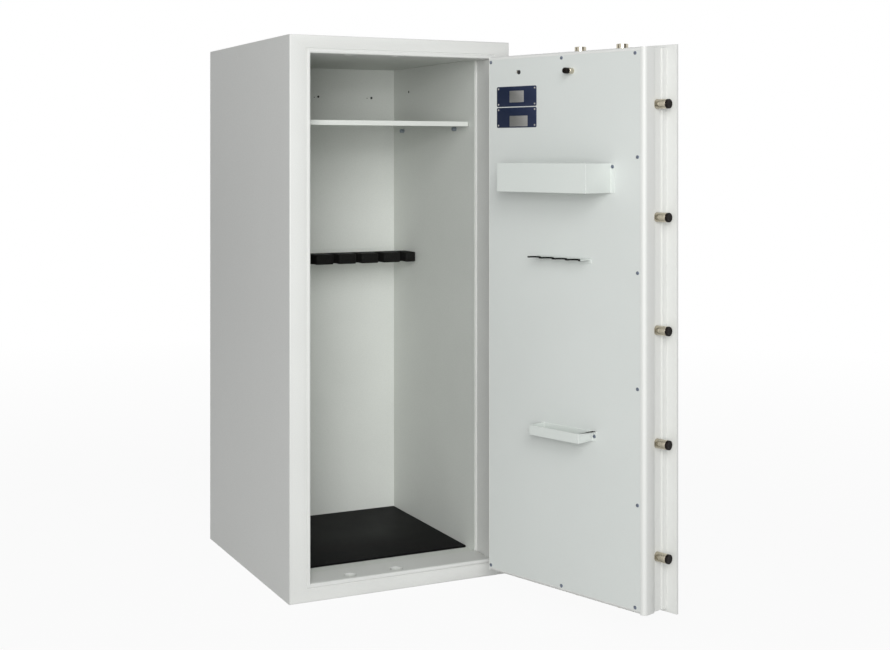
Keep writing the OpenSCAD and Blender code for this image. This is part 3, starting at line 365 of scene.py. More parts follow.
# %% Streaks along one direction, for turned and rolled metal
metal_streaks, given = effect(
    "metal_streaks",
    [("Vector", "Vector", None), ("Metal", "Color", (0.6, 0.6, 0.6, 1)), ("Streaks per metre", "Float", 2500.0),
     ("Gloss low", "Float", 0.18), ("Gloss high", "Float", 0.34)],
    [("Color", "Color"), ("Roughness", "Float"), ("Height", "Float")])
fine = {"Vector": given["Vector"], "Scale": given["Streaks per metre"], "Detail": 4.0, "Roughness": 0.7}
streaks = add(metal_streaks, "TexNoise", fine).outputs[0]
smudge = add(metal_streaks, "TexNoise", {"Vector": given["Vector"], "Scale": 42.0, "Detail": 3.0}).outputs[0]
tone = ramp(metal_streaks, streaks, 0.3, 0.7, 0.82, 1.0)
hand_out(metal_streaks, Roughness=ramp(metal_streaks, smudge, 0.35, 0.65, given["Gloss low"], given["Gloss high"]),
         Color=add(metal_streaks, "VectorMath", {0: given["Metal"], "Scale": tone}, operation="SCALE").outputs[0],
         Height=streaks)

# %% Dust that settles on upper faces
settled_dust, given = effect(
    "settled_dust",
    [("Vector", "Vector", None), ("Color", "Color", (0.5, 0.5, 0.5, 1)), ("Dust", "Color", linear(186, 182, 172)),
     ("Amount", "Float", 0.12)],
    [("Color", "Color"), ("Mask", "Float")])
fluff = {"Vector": given["Vector"], "Scale": 55.0, "Detail": 5.0, "Roughness": 0.65}
lint = add(settled_dust, "TexNoise", fluff).outputs[0]
way = add(settled_dust, "NewGeometry").outputs["Normal"]
upward = add(settled_dust, "SeparateXYZ", {0: way}).outputs["Z"]
on_top = calc(settled_dust, "MULTIPLY", ramp(settled_dust, upward, 0.35, 0.95, 0, 1),
              ramp(settled_dust, lint, 0.38, 0.72, 0.15, 1))
share = calc(settled_dust, "MULTIPLY", on_top, given["Amount"])
hand_out(settled_dust, Color=blend(settled_dust, share, given["Color"], given["Dust"]), Mask=share)

# %% Soft corners, with edge wear and a painted edge highlight
edge_wear_and_highlight, given = effect(
    "edge_wear_and_highlight",
    [("Radius", "Float", 0.001), ("Color", "Color", (0.5, 0.5, 0.5, 1)), ("Wear and highlight", "Color", (0.8, 0.8, 0.8, 1)),
     ("Amount", "Float", 0.25)],
    [("Color", "Color"), ("Normal", "Vector")])
softened = add(edge_wear_and_highlight, "Bevel", {"Radius": given["Radius"]}, samples=4).outputs[0]
true = add(edge_wear_and_highlight, "NewGeometry").outputs["True Normal"]
agree = add(edge_wear_and_highlight, "VectorMath", {0: softened, 1: true}, operation="DOT_PRODUCT").outputs["Value"]
# A lighter colour is blended in along the rounded corners: partly wear, partly a painted highlight.
share = calc(edge_wear_and_highlight, "MULTIPLY", ramp(edge_wear_and_highlight, agree, 0.995, 0.8, 0, 1), given["Amount"])
hand_out(edge_wear_and_highlight, Color=blend(edge_wear_and_highlight, share, given["Color"], given["Wear and highlight"]), Normal=softened)

# %% [markdown]
# ## The finishes
# The body is one light grey powder paint, a little warmer on the cabinet and a little greener on the door's flat panel.
# The locking bolts are bright nickel with blackened ends, and the fittings inside are zinc or bronze.
# The rack and the mat are matt black.
# The door stands turned, so the grain of its metal is turned with it by a Mapping node.
# The frame brings plain materials of its own, so a finish is looked up in a table here and not by a material's name.

# %% How a finish is put together
hinge = next(joint for joint in frame["joints"] if joint["name"] == "door_hinge")
DOOR_OPEN = -math.radians(hinge["range_deg"][0])
finishes = {}


def finish(name, group, values, shine, bump, depth, turn=0.0, stretch=(1, 1, 1), dust=0.0, edge=None):
    """A Principled material: its colour, roughness and bump come from one effect, with dust and lighter corners over
    it, which are partly wear and partly painted highlight.

    turn swings the pattern with the door, and stretch draws it out along one direction.
    shine holds the shader's own constants, and edge is the corner's radius, its lighter colour of wear and painted
    highlight, and how much of it shows.
    """
    made, tree = new_material(name)
    finishes[name] = made
    where = add(tree, "TexCoord").outputs["Object"]
    swung_way = add(tree, "Mapping", {"Vector": where, "Rotation": (0.0, 0.0, turn)}).outputs[0]
    grain = add(tree, "Mapping", {"Vector": swung_way, "Scale": stretch}).outputs[0]
    look = add(tree, "Group", {**values, "Vector": grain}, node_tree=group).outputs
    relief = add(tree, "Bump", {"Height": look["Height"], "Strength": bump, "Distance": depth})
    colour = look["Color"]
    if edge:
        radius, edge_colour, amount = edge
        edge_inputs = {"Radius": radius, "Color": colour, "Wear and highlight": linear(*edge_colour), "Amount": amount}
        corner = add(tree, "Group", edge_inputs, node_tree=edge_wear_and_highlight).outputs
        plug(tree, corner["Normal"], relief.inputs["Normal"])
        colour = corner["Color"]
    if dust:
        film = {"Vector": where, "Color": colour, "Amount": dust}
        colour = add(tree, "Group", film, node_tree=settled_dust).outputs["Color"]
    joins = {"Base Color": colour, "Roughness": look["Roughness"], "Normal": relief.outputs[0]}
    shader = add(tree, "BsdfPrincipled", {**shine, **joins})
    add(tree, "OutputMaterial", {"Surface": shader.outputs[0]})


def paint(name, colour, pebbles, cloud, fleck, shine, bump, depth=0.0002, **more):
    """A pebbled finish: screen colour, pebbles per metre, cloud and fleck strength, specular level, bump and depth."""
    values = {"Paint": linear(*colour), "Pebbles per metre": pebbles, "Cloud tone": cloud, "Fleck": fleck}
    finish(name, pebbled_paint, values, {"Specular IOR Level": shine}, bump, depth, **more)


def metal(name, colour, streaks, gloss, metallic, bump, **more):
    """A streaked finish: screen colour, streaks per metre, lowest and highest roughness, metallic share and bump."""
    values = {"Metal": linear(*colour), "Streaks per metre": streaks, "Gloss low": gloss[0], "Gloss high": gloss[1]}
    finish(name, metal_streaks, values, {"Metallic": metallic}, bump, 0.0001, **more)


# %% Paints
# Each edge colour is lighter than its paint: wear and painted highlight along the corners.
paint("cabinet_paint", (213, 214, 211), 520.0, 0.02, 0.045, 0.45, 0.5, 0.0003, edge=(0.0012, (232, 232, 230), 0.2))
paint("door_paint", (215, 216, 213), 620.0, 0.012, 0.02, 0.5, 0.28, edge=(0.001, (234, 234, 232), 0.2))
paint("lining_paint", (211, 214, 209), 560.0, 0.03, 0.05, 0.4, 0.5, 0.0003, dust=0.06)
paint("panel_paint", (207, 211, 208), 640.0, 0.015, 0.02, 0.45, 0.25)
# The trays' strong lighter edge is a painted highlight.
paint("tray_paint", (207, 212, 208), 640.0, 0.012, 0.02, 0.5, 0.25, dust=0.03, edge=(0.0014, (240, 243, 240), 0.7))
paint("black_enamel", (34, 35, 36), 900.0, 0.1, 0.12, 0.5, 0.35, dust=0.05, edge=(0.001, (84, 84, 84), 0.35))
print(len(finishes), "paints")

# %% Metals
metal("bright_nickel", (206, 198, 180), 60.0, (0.16, 0.3), 1.0, 0.12, turn=-DOOR_OPEN, stretch=(40, 1, 1))
metal("bright_nickel_upright", (206, 198, 180), 60.0, (0.16, 0.3), 1.0, 0.12, stretch=(1, 1, 40))
metal("blackened_end", (26, 21, 19), 900.0, (0.3, 0.5), 0.85, 0.2, edge=(0.0006, (120, 112, 104), 0.3))
metal("plated_steel", (168, 176, 188), 900.0, (0.28, 0.46), 1.0, 0.2, edge=(0.0005, (214, 218, 224), 0.3))
metal("dull_zinc", (112, 120, 134), 1200.0, (0.34, 0.5), 0.9, 0.2, edge=(0.0005, (196, 202, 212), 0.4))
metal("bronze_bush", (176, 138, 84), 700.0, (0.25, 0.42), 1.0, 0.15)
metal("brushed_aluminium", (178, 177, 175), 60.0, (0.38, 0.54), 0.9, 0.1, turn=-DOOR_OPEN, stretch=(1, 1, 45))
metal("navy_plate", (34, 45, 74), 90.0, (0.3, 0.42), 0.35, 0.08, turn=-DOOR_OPEN, stretch=(1, 1, 30),
      edge=(0.0005, (120, 126, 160), 0.35))
print(len(finishes), "finishes with the metals")

# %% Foam, felt, fill and board
paint("comb_foam", (28, 28, 27), 420.0, 0.12, 0.35, 0.02, 0.5, 0.0004, dust=0.008)
paint("mat_felt", (12, 12, 13), 300.0, 0.2, 0.4, 0.03, 0.9, 0.001, dust=0.006)
paint("gypsum_fill", (128, 126, 120), 90.0, 0.15, 0.3, 0.2, 0.8, 0.002)
paint("wool_board", (196, 186, 158), 160.0, 0.1, 0.25, 0.15, 0.8, 0.001, stretch=(1, 1, 5))
print(len(finishes), "finishes in all")

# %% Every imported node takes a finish
finish_of = {
    "cabinet_paint": ("outer_shell", "front_frame", "back_panel", "lock_jamb", "hinge_jamb", "lintel_plate",
                      "sill_plate", "frame_hinges"),
    "lining_paint": ("inner_liner", "shelf", "bolt_cups", "rack_bracket"),
    "door_paint": ("door_plate", "lock_side_post", "hinge_side_post", "door_top_rail", "door_bottom_rail",
                   "door_hinges"),
    "panel_paint": ("inner_cover",),
    "tray_paint": ("document_tray", "small_tray", "rod_holder"),
    "black_enamel": ("handle_rose", "key_escutcheon", "handle_lever"),
    "dull_zinc": ("cover_screws", "tray_screws"),
    "plated_steel": ("rack_screws", "boltwork_plate", "side_bolt_bar", "top_bolt_bar", "bottom_bolt_bar", "cam_disc",
                     "lock_case", "lock_bolt", "lock_screws", "handle_screw", "hinge_washers", "shelf_pins",
                     "bar_guides"),
    "bright_nickel": ("side_bolts", "panel_stud", "hinge_pins", "handle_spindle", "keyhole_cover", "key_cover_rivet"),
    "bright_nickel_upright": ("top_bolts", "bottom_bolts"),
    "blackened_end": ("side_bolt_tips",),
    "bronze_bush": ("side_bolt_bushes", "end_bolt_bushes"),
    "comb_foam": ("barrel_comb",),
    "mat_felt": ("floor_mat",),
    "gypsum_fill": ("barrier_fill", "frame_fill", "door_barrier"),
    "wool_board": ("door_insulation",),
    "navy_plate": ("rating_plates",),
    "brushed_aluminium": ("plate_windows", "plate_rivets"),
}
finish_by_node = {node: look for look, names in finish_of.items() for node in names}
for title, item in nodes.items():
    for place in item.material_slots:
        place.material = finishes[finish_by_node[title]]
print("dressed", len(finish_by_node), "of", len(nodes), "nodes")

# %% [markdown]
# ## Two places to work in
# The door was measured closed and is shown swung open, so its sizes read most simply in the closed place.
# A new door piece is therefore worked out closed and is then swung about the hinge line, as the real door is.
# The main sizes below are read from the imported node that the piece stands for, so a change of the safe carries
# through.

# %% Closed and open places of the door
hinge_line = np.array(hinge["pos_m"][:2])


def swung(points, angle=DOOR_OPEN):
    """Turns points about the upright hinge line: x' = x cos a - y sin a and y' = x sin a + y cos a, from the line."""
    points = np.array(points, float).reshape(-1, 3)
    x, y = (points[:, :2] - hinge_line).T
    points[:, 0] = hinge_line[0] + x * math.cos(angle) - y * math.sin(angle)
    points[:, 1] = hinge_line[1] + x * math.sin(angle) + y * math.cos(angle)
    return points


def solids_of(node, on_door=False):
    """The low and high corners of each separate solid of a node, from the lowest up.

    Points that share an edge take the lowest label until nothing changes.
    """
    mesh = nodes[node].data
    flat = np.zeros(len(mesh.vertices) * 3, np.float32)
    mesh.vertices.foreach_get("co", flat)
    points = flat.reshape(-1, 3).astype(float)
    ends = np.zeros(len(mesh.edges) * 2, np.int32)
    mesh.edges.foreach_get("vertices", ends)
    first, second = ends.reshape(-1, 2).T
    _, same = np.unique(np.round(points, 6), axis=0, return_inverse=True)
    first, second = same.ravel()[first], same.ravel()[second]
    label = np.arange(same.max() + 1)
    while True:
        low = np.minimum(label[first], label[second])
        fresh = label.copy()
        np.minimum.at(fresh, first, low)
        np.minimum.at(fresh, second, low)
        fresh = fresh[fresh]
        if (fresh == label).all():
            break
        label = fresh
    if on_door:
        points = swung(points, -DOOR_OPEN)
    owner = label[same.ravel()]
    found = [(points[owner == k].min(0), points[owner == k].max(0)) for k in np.unique(owner)]
    return sorted(found, key=lambda pair: (round(pair[0][2], 4), round(pair[0][0], 4)))


print("side bolts:", len(solids_of("side_bolts", True)), "plates:", len(solids_of("rating_plates", True)))

# %% [markdown]
# ## Grids, turned shapes and ring stacks
# Nearly every fitting here is either a turned shape or a flat shape with softened edges.
# A turned shape is a profile swept round an axis.
# A softened plate is one outline repeated at several heights, drawn in a little near its faces.
# Both are grids of points, so one routine makes all of their faces.

# %% Shape helpers
def grid_faces(rows, columns, closed_rows=False, closed_columns=True):
    """Four corners (i, j), (i, j+1), (i+1, j+1), (i+1, j) for every cell of a grid of points."""
    i, j = np.meshgrid(np.arange(rows - (not closed_rows)), np.arange(columns - (not closed_columns)), indexing="ij")
    a, b = i * columns + j, i * columns + (j + 1) % columns
    below = (i + 1) % rows * columns
    return np.stack([a, b, below + (j + 1) % columns, below + j], -1).reshape(-1, 4)


def turned(profile, sides=48):
    """Sweeps (radius, height) round the Z axis: a point is (r cos t, r sin t, h)."""
    r, h = np.array(profile, float).T
    t = np.linspace(0, 2 * np.pi, sides, endpoint=False)
    points = np.stack([np.outer(r, np.cos(t)), np.outer(r, np.sin(t)), np.outer(h, np.ones(sides))], -1)
    return points.reshape(-1, 3), grid_faces(len(r), sides)


def bend(centre, radius, start, end, steps=5):
    """Points on an arc, from one angle to another in degrees: centre + radius (cos a, sin a)."""
    a = np.radians(np.linspace(start, end, steps))
    return np.stack([centre[0] + radius * np.cos(a), centre[1] + radius * np.sin(a)], 1)


def rounded_outline(half_w, half_h, radius, steps=6):
    """A rectangle's outline whose corners are quarter circles."""
    corners = ((half_w, half_h, 0), (-half_w, half_h, 90), (-half_w, -half_h, 180), (half_w, -half_h, 270))
    inner = [(np.sign(x) * (abs(x) - radius), np.sign(y) * (abs(y) - radius), a) for x, y, a in corners]
    return np.concatenate([bend((x, y), radius, a, a + 90, steps) for x, y, a in inner])


def drawn_in(outline, amount):
    """Moves each point of an outline along its inward normal: its neighbours' difference, scaled and turned."""
    along = np.roll(outline, -1, 0) - np.roll(outline, 1, 0)
    along /= np.linalg.norm(along, axis=1)[:, None]
    return outline + amount * np.stack([-along[:, 1], along[:, 0]], 1)


def capped(rows, count):
    """The faces of a tube of rings, with one flat face at each end."""
    last = (rows - 1) * count
    return grid_faces(rows, count).tolist() + [list(range(count))[::-1], list(range(last, last + count))]


def soft_slab(outline, low, high, soft, steps=4):
    """An outline carried from low to high, closed by flat faces. Near them it draws in along a quarter circle."""
    up = [(soft * (1 - math.cos(a)), high - soft * (1 - math.sin(a))) for a in np.linspace(0, math.pi / 2, steps)]
    down = [(inset, low + high - z) for inset, z in reversed(up)]
    rings = [np.column_stack([drawn_in(outline, inset), np.full(len(outline), z)]) for inset, z in down + up]
    return np.concatenate(rings), capped(len(rings), len(outline))


def stood(shape, origin, way):
    """Stands a shape made along +Z at a place, with its Z along another direction."""
    points, faces = shape
    turn = Vector((0, 0, 1)).rotation_difference(Vector(way)).to_matrix()
    return points @ np.array(turn).T + np.array(origin), faces


def joined(shapes):
    """Several (points, faces) as one: each shape's face numbers start after the points before it."""
    points, faces, start = [], [], 0
    for these, cells in shapes:
        points.append(these)
        faces += [[start + k for k in cell] for cell in (cells.tolist() if isinstance(cells, np.ndarray) else cells)]
        start += len(these)
    return np.concatenate(points), faces


# %% A piece from points and faces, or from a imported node
body_of = {item: body for body, items in frame["record"]["behaviour"]["bodies"].items() for item in items}


MERGE_GAP, THIN_EDGE = 1e-6, 1e-7
FLAT_ANGLE, BEVEL_ANGLE, BEVEL_STEPS = math.radians(0.4), math.radians(38), 2


def settle(item, body, look, stands_for, smooth=32, soft=0.0):
    """Merges doubles, points faces outwards, shades it smooth but for its sharp edges, and softens those by a bevel."""
    mesh = item.data
    work = bmesh.new()
    work.from_mesh(mesh)
    bmesh.ops.remove_doubles(work, verts=work.verts, dist=MERGE_GAP)
    bmesh.ops.dissolve_degenerate(work, edges=work.edges, dist=THIN_EDGE)
    if soft:
        bmesh.ops.dissolve_limit(work, angle_limit=FLAT_ANGLE, verts=work.verts, edges=work.edges)
    bmesh.ops.recalc_face_normals(work, faces=work.faces)
    work.to_mesh(mesh)
    work.free()
    mesh.polygons.foreach_set("use_smooth", np.ones(len(mesh.polygons), bool))
    mesh.set_sharp_from_angle(angle=math.radians(smooth))
    if soft:
        edge = item.modifiers.new("soft_edges", "BEVEL")
        edge.width, edge.segments, edge.limit_method, edge.angle_limit = soft, BEVEL_STEPS, "ANGLE", BEVEL_ANGLE
        edge.harden_normals, edge.use_clamp_overlap = True, True
    mesh.materials.clear()
    mesh.materials.append(finishes[look])
    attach(item, body)
    if stands_for:
        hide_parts(*stands_for)


def make_piece(name, shape, look, body, stands_for, on_door=False, smooth=32):
    """A new piece from (points, faces). A door piece is worked out closed and swung open here."""
    points, faces = shape
    points = swung(points) if on_door else points
    faces = faces.tolist() if isinstance(faces, np.ndarray) else faces
    settle(new_object(name, new_mesh(name, points.tolist(), faces)), body, look, stands_for, smooth)


def dressed(node, soft, look=None):
    """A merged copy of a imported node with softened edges, which stands for it."""
    item = new_object(node + "_dressed", nodes[node].data.copy())
    settle(item, body_of[node], look or finish_by_node[node], (node,), soft=soft)


print("shape helpers ready;", len(body_of), "nodes have a body")

# %% [markdown]
# ## The folded front frame
# On the real safe one sheet wraps the front edges, runs in a shallow groove and rolls back into the opening.
# Four straight bars would show neither the groove nor a clean mitre at the corners.
# The cross-section is drawn once and carried round: each point of it makes its own larger or smaller rectangle.

# %% Front frame
outer_low, outer_high = [np.array(c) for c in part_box("front_frame")]
bars = solids_of("front_frame")
opening_x = max(high[0] for low, high in bars if high[0] < outer_high[0] - 1e-4)
opening_low = min(high[2] for low, high in bars)
opening_high = max(low[2] for low, high in bars)
front_y, fold_y = outer_low[1], outer_high[1]
SHEET, CORNER, FOLD = 0.003, 0.004, 0.006
GROOVE = ((0.0140, 0.0), (0.0134, 0.0006), (0.0131, 0.0018), (0.0104, 0.0018), (0.0100, 0.0006), (0.0092, 0.0))


def carried_round(profile):
    """Makes a rectangle of each profile row (from, inset, y), and a tube of the rectangles.

    Rows from the outside count inwards from the outer faces, and rows from the opening count outwards from it.
    """
    rings = []
    for start, inset, y in profile:
        if start == "outside":
            x, low, high = outer_high[0] - inset, outer_low[2] + inset, outer_high[2] - inset
        else:
            x, low, high = opening_x + inset, opening_low - inset, opening_high + inset
        rings.append([(-x, y, low), (x, y, low), (x, y, high), (-x, y, high)])
    return np.array(rings, float).reshape(-1, 3), grid_faces(len(rings), 4, closed_rows=True)


outside_corner = [("outside", d, front_y + y) for d, y in bend((CORNER, CORNER), CORNER, 180, 270, 6)]
groove = [("opening", o, front_y + y) for o, y in GROOVE]
rolled = [("opening", o, front_y + y) for o, y in bend((FOLD, FOLD), FOLD, 270, 180, 7)]
inner_rolled = [("opening", o, front_y + y) for o, y in bend((FOLD, FOLD), FOLD - SHEET, 180, 270, 5)]
frame_profile = ([("outside", 0.0, fold_y)] + outside_corner + groove + rolled
                 + [("opening", 0.0, fold_y), ("opening", SHEET, fold_y)] + inner_rolled
                 + [("outside", SHEET, front_y + SHEET), ("outside", SHEET, fold_y)])
make_piece("folded_front_frame", carried_round(frame_profile), "cabinet_paint", "cabinet", ("front_frame",),
           smooth=50)
print("the opening is", round(2 * opening_x, 4), "wide; the frame's section has", len(frame_profile), "points")

# %% [markdown]
# ## Sheet-metal parts with real edges
# A imported node has knife edges where steel has been sheared, bent or cast, and those edges are what catches the light.
# A copy of each node listed below is merged, and its true edges are rounded by between 0.2 and 3 millimetres.
# The radius follows how each part is made: small for cut sheet, larger for bends and for the cast lever.

# %% Softened copies
edge_radius = {
    "door_plate": 0.0012, "hinge_side_post": 0.0008, "door_top_rail": 0.0005, "door_bottom_rail": 0.0005,
    "lock_side_post": 0.0005, "shelf": 0.0012, "document_tray": 0.0005, "small_tray": 0.0005, "rod_holder": 0.0007,
    "frame_hinges": 0.0015, "door_hinges": 0.0015, "hinge_pins": 0.0008, "handle_lever": 0.003, "handle_rose": 0.0012,
    "key_escutcheon": 0.0008, "keyhole_cover": 0.0008, "top_bolts": 0.0012, "bottom_bolts": 0.0012,
    "shelf_pins": 0.001, "rack_bracket": 0.0006, "end_bolt_bushes": 0.0002,
}
for node, radius in edge_radius.items():
    dressed(node, radius)
print("softened", len(edge_radius), "packed nodes")

# %% [markdown]
# ## Screws, rivets and the stud
# The cover and the trays are held by zinc screws with a dished cross, and the plates by small domed rivets.
# A picture of a cross would slide off a curved head, so the cross is pressed into the grid of the head itself.
# The stud on the cover is a turned tube with a dark bore, as on the photographed door.

# %% Screw heads
DOME_FALL, SLOT_HALF, SLOT_REACH, SLOT_DEPTH = 0.5, 0.13, 0.62, 0.62
HEAD_HEIGHT = 0.0024
OUT_OF_DOOR, OUT_OF_CABINET = (0, 1, 0), (0, -1, 0)


def cross_head(radius, height, rings=16, sides=64):
    """A dome h = height (1 - (r / R)^2.4 / 2) on a polar grid. Two crossed slots are pressed in, deepest midway."""
    s = np.linspace(0, 1, rings) ** 0.9
    t = np.linspace(0, 2 * np.pi, sides, endpoint=False)
    x, y = np.outer(s, np.cos(t)) * radius, np.outer(s, np.sin(t)) * radius
    r = np.hypot(x, y) / radius
    h = height * (1 - DOME_FALL * r ** 2.4)
    arm = np.minimum(abs(x), abs(y)) < SLOT_HALF * radius
    h -= np.where(arm & (r < SLOT_REACH), SLOT_DEPTH * height * (1 - r / 0.7), 0.0)
    top = np.stack([x, y, h], -1).reshape(-1, 3)
    skirt = np.stack([radius * np.cos(t), radius * np.sin(t), np.zeros(sides)], -1)
    return np.concatenate([top, skirt, np.zeros((sides, 3))]), grid_faces(rings + 2, sides)


def heads_at(node, way, on_door):
    """A screw head at the outer face of each solid of a node, as wide as the solid."""
    shapes = []
    for low, high in solids_of(node, on_door):
        size = high - low
        rise = abs(np.dot(size, np.abs(way)))
        head = min(rise, HEAD_HEIGHT)
        foot = (low + high) / 2 + np.array(way) * (rise / 2 - head)
        shapes.append(stood(cross_head((size.sum() - rise) / 4, head), foot, way))
    return joined(shapes)


for node, way, on_door in (("cover_screws", OUT_OF_DOOR, True), ("tray_screws", OUT_OF_DOOR, True),
                           ("rack_screws", OUT_OF_CABINET, False)):
    make_piece(node + "_crossed", heads_at(node, way, on_door), finish_by_node[node], body_of[node], (node,),
               on_door=on_door, smooth=40)
    print(node, len(solids_of(node)), "cross heads")

# %% Rivets and stud
rivets = []
for low, high in solids_of("plate_rivets", True):
    radius, rise = (high[0] - low[0]) / 2, high[1] - low[1]
    dome = [(radius * math.sin(a), rise * (0.25 + 0.75 * math.cos(a))) for a in np.linspace(0, math.pi / 2, 7)]
    foot = ((low[0] + high[0]) / 2, low[1], (low[2] + high[2]) / 2)
    rivets.append(stood(turned(dome + [(radius, 0), (0, 0)], 24), foot, OUT_OF_DOOR))
make_piece("domed_plate_rivets", joined(rivets), "brushed_aluminium", "door", ("plate_rivets",),
           on_door=True, smooth=40)

COLLAR_SHARE, BORE_RADIUS, BORE_DEPTH = 0.52, 0.0022, 0.0012
low, high = solids_of("panel_stud", True)[0]
stud_radius, stud_length = (high[0] - low[0]) / 2, high[1] - low[1]
stud_foot = ((low[0] + high[0]) / 2, low[1], (low[2] + high[2]) / 2)
collar = stud_length * COLLAR_SHARE
stud_profile = [(0, 0), (stud_radius, 0), (stud_radius, collar - 0.0008), (stud_radius - 0.0008, collar), (0, collar)]
make_piece("turned_panel_stud", stood(turned(stud_profile), stud_foot, OUT_OF_DOOR), "bright_nickel", "door",
           ("panel_stud",), on_door=True)
inner = stud_radius - 0.0002
cap_profile = [(0, collar), (inner, collar), (inner, stud_length - 0.0018), (inner - 0.0006, stud_length - 0.0005),
               (inner - 0.0016, stud_length), (BORE_RADIUS + 0.0004, stud_length),
               (BORE_RADIUS, stud_length - BORE_DEPTH), (0, stud_length - BORE_DEPTH)]
make_piece("black_stud_cap", stood(turned(cap_profile), stud_foot, OUT_OF_DOOR), "blackened_end", "door", (),
           on_door=True)
print(len(rivets), "rivets and a stud", round(stud_length, 3), "long")

# %% [markdown]
# ## Side bolts with blackened ends
# Each side bolt is a turned nickel bar. Its last few millimetres are blackened all round.
# The end face has a small chamfer.
# The measured bolt and its end are two solids, and the dark band is wider in the photograph than the solid end.
# So each is turned anew with the same radius and the same reach, and only the line between the two finishes moves back.

# %% Side bolts
DARK_BAND, BREAK, END_DISH, BUSH_EDGE = 0.0065, 0.0004, 0.0003, 0.0006
OUT_OF_LOCK_SIDE = (-1, 0, 0)
sleeves, ends = [], []
for (low, high), (end_low, _) in zip(solids_of("side_bolts", True), solids_of("side_bolt_tips", True)):
    middle, radius = (low + high) / 2, (high[2] - low[2]) / 2
    seam = end_low[0] + DARK_BAND
    length = high[0] - seam
    sleeve = turned([(0, 0), (radius, 0), (radius, length - BREAK), (radius - BREAK, length), (0, length)])
    sleeves.append(stood(sleeve, (high[0], middle[1], middle[2]), OUT_OF_LOCK_SIDE))
    rim = radius - 0.0001
    end = turned([(0, 0), (rim, 0), (rim, DARK_BAND - 0.0012), (rim - 0.0003, DARK_BAND - 0.0005),
                  (rim - 0.0011, DARK_BAND), (0.62 * radius, DARK_BAND), (0.58 * radius, DARK_BAND - END_DISH),
                  (0, DARK_BAND - END_DISH)])
    ends.append(stood(end, (seam, middle[1], middle[2]), OUT_OF_LOCK_SIDE))
make_piece("turned_side_bolts", joined(sleeves), "bright_nickel", "side_bolt_set", ("side_bolts",),
           on_door=True)
make_piece("blackened_bolt_ends", joined(ends), "blackened_end", "side_bolt_set", ("side_bolt_tips",),
           on_door=True)
dressed("side_bolt_bushes", BUSH_EDGE, look="door_paint")
print(len(sleeves), "side bolts of radius", round(radius, 4))

# %% [markdown]
# ## The painted shadow line of the rod holder
# A thin black strip along the rod holder's scalloped front is painted shadow: it stands for the dark wavy shadow line
# under that edge.
# It follows the holder's outline, so a small rounded section is carried along the straights and the half hollows.

# %% Painted shadow strip of the rod holder
SCALLOP_R, HOLDER_SHEET = 0.017, 0.0025
SHADOW_STRIP_HALF_W, SHADOW_STRIP_HALF_H, SHADOW_STRIP_ROUND, SHADOW_STRIP_OUT = 0.0011, 0.0021, 0.0008, 0.0006


def openings_named(start):
    """How many openings of the record have a name that begins so."""
    return sum(row["name"].startswith(start) for row in frame["record"]["physics"]["openings"])


low, high = solids_of("rod_holder", True)[0]
SCALLOPS = openings_named("rod_scallop")
step = (high[0] - low[0]) / SCALLOPS
hollows = [bend((low[0] + (k + 0.5) * step, high[1]), SCALLOP_R, 180, 360, 17) for k in range(SCALLOPS)]
edge_path = np.concatenate([[[low[0], high[1]]]] + hollows + [[[high[0], high[1]]]])


def carried_along(path, section):
    """Carries a closed section along a path in the XY plane: its x along the path's outward normal, its y up."""
    along = np.gradient(path, axis=0)
    along /= np.linalg.norm(along, axis=1)[:, None]
    out = np.stack([-along[:, 1], along[:, 0]], 1)
    flat = path[:, None, :] + out[:, None, :] * section[None, :, :1]
    up = np.broadcast_to(section[None, :, 1:], flat.shape[:2] + (1,))
    return np.concatenate([flat, up], 2).reshape(-1, 3), capped(len(path), len(section))


shadow_strip_section = rounded_outline(SHADOW_STRIP_HALF_W, SHADOW_STRIP_HALF_H, SHADOW_STRIP_ROUND, 3)
shadow_strip_section += [SHADOW_STRIP_OUT, high[2] - HOLDER_SHEET / 2]
# The strip takes the comb's black foam finish. It is painted shadow and not a part of the holder.
make_piece("rod_holder_edging", carried_along(edge_path, shadow_strip_section), "comb_foam", "door", (),
           on_door=True, smooth=50)
print("painted shadow strip along", SCALLOPS, "scallops,", len(edge_path), "points long")

# %% [markdown]
# ## The two plates on the cover
# The photographed plates carry text, which is left off: here they are bare navy, each with one plain lighter window.
# Each plate is a thin slab with punched round corners and a softly broken edge.

# %% Plates and windows
PLATE_CORNER, WINDOW_CORNER, PLATE_BREAK = 0.004, 0.0015, 0.00022


def soft_sheets(node, corner):
    """Every solid of a node as a thin slab with round corners, whose face edges are softly broken."""
    shapes = []
    for low, high in solids_of(node, True):
        middle, half = (low + high) / 2, (high - low) / 2
        slab = soft_slab(rounded_outline(half[0], half[2], corner), 0.0, high[1] - low[1], PLATE_BREAK, 3)
        shapes.append(stood(slab, (middle[0], low[1], middle[2]), OUT_OF_DOOR))
    return shapes


plates, windows = soft_sheets("rating_plates", PLATE_CORNER), soft_sheets("plate_windows", WINDOW_CORNER)
make_piece("bare_navy_plates", joined(plates), "navy_plate", "door", ("rating_plates",), on_door=True)
make_piece("plain_plate_windows", joined(windows), "brushed_aluminium", "door", ("plate_windows",),
           on_door=True)
print(len(plates), "plates and", len(windows), "windows")

# %% [markdown]
# ## Barrel comb and floor mat
# The comb is one strip of black foam with round-bottomed notches, and the mat is a thin felt sheet over the floor.
# Foam and felt have no sharp corners, so the notched outline is drawn in along a small quarter circle at both faces.

# %% Comb
low, high = [np.array(c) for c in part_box("barrel_comb")]
NOTCHES = openings_named("barrel_notch")
END_ROUND, NOTCH_W, NOTCH_D, LIP, COMB_SOFT = 0.006, 0.018, 0.042, 0.004, 0.003
notch_pitch = 2 * (high[0] - END_ROUND) / NOTCHES


def notch_edge(x):
    """Goes into one notch and out again: a small lip, a straight side, a half circle, and the same back."""
    half = NOTCH_W / 2
    lip = bend((x - half - LIP, low[1] + LIP), LIP, 270, 360, 4)
    bottom = bend((x, low[1] + NOTCH_D - half), half, 180, 0, 11)
    return np.concatenate([lip, bottom, [2 * x, 0] + lip[::-1] * [-1, 1]])


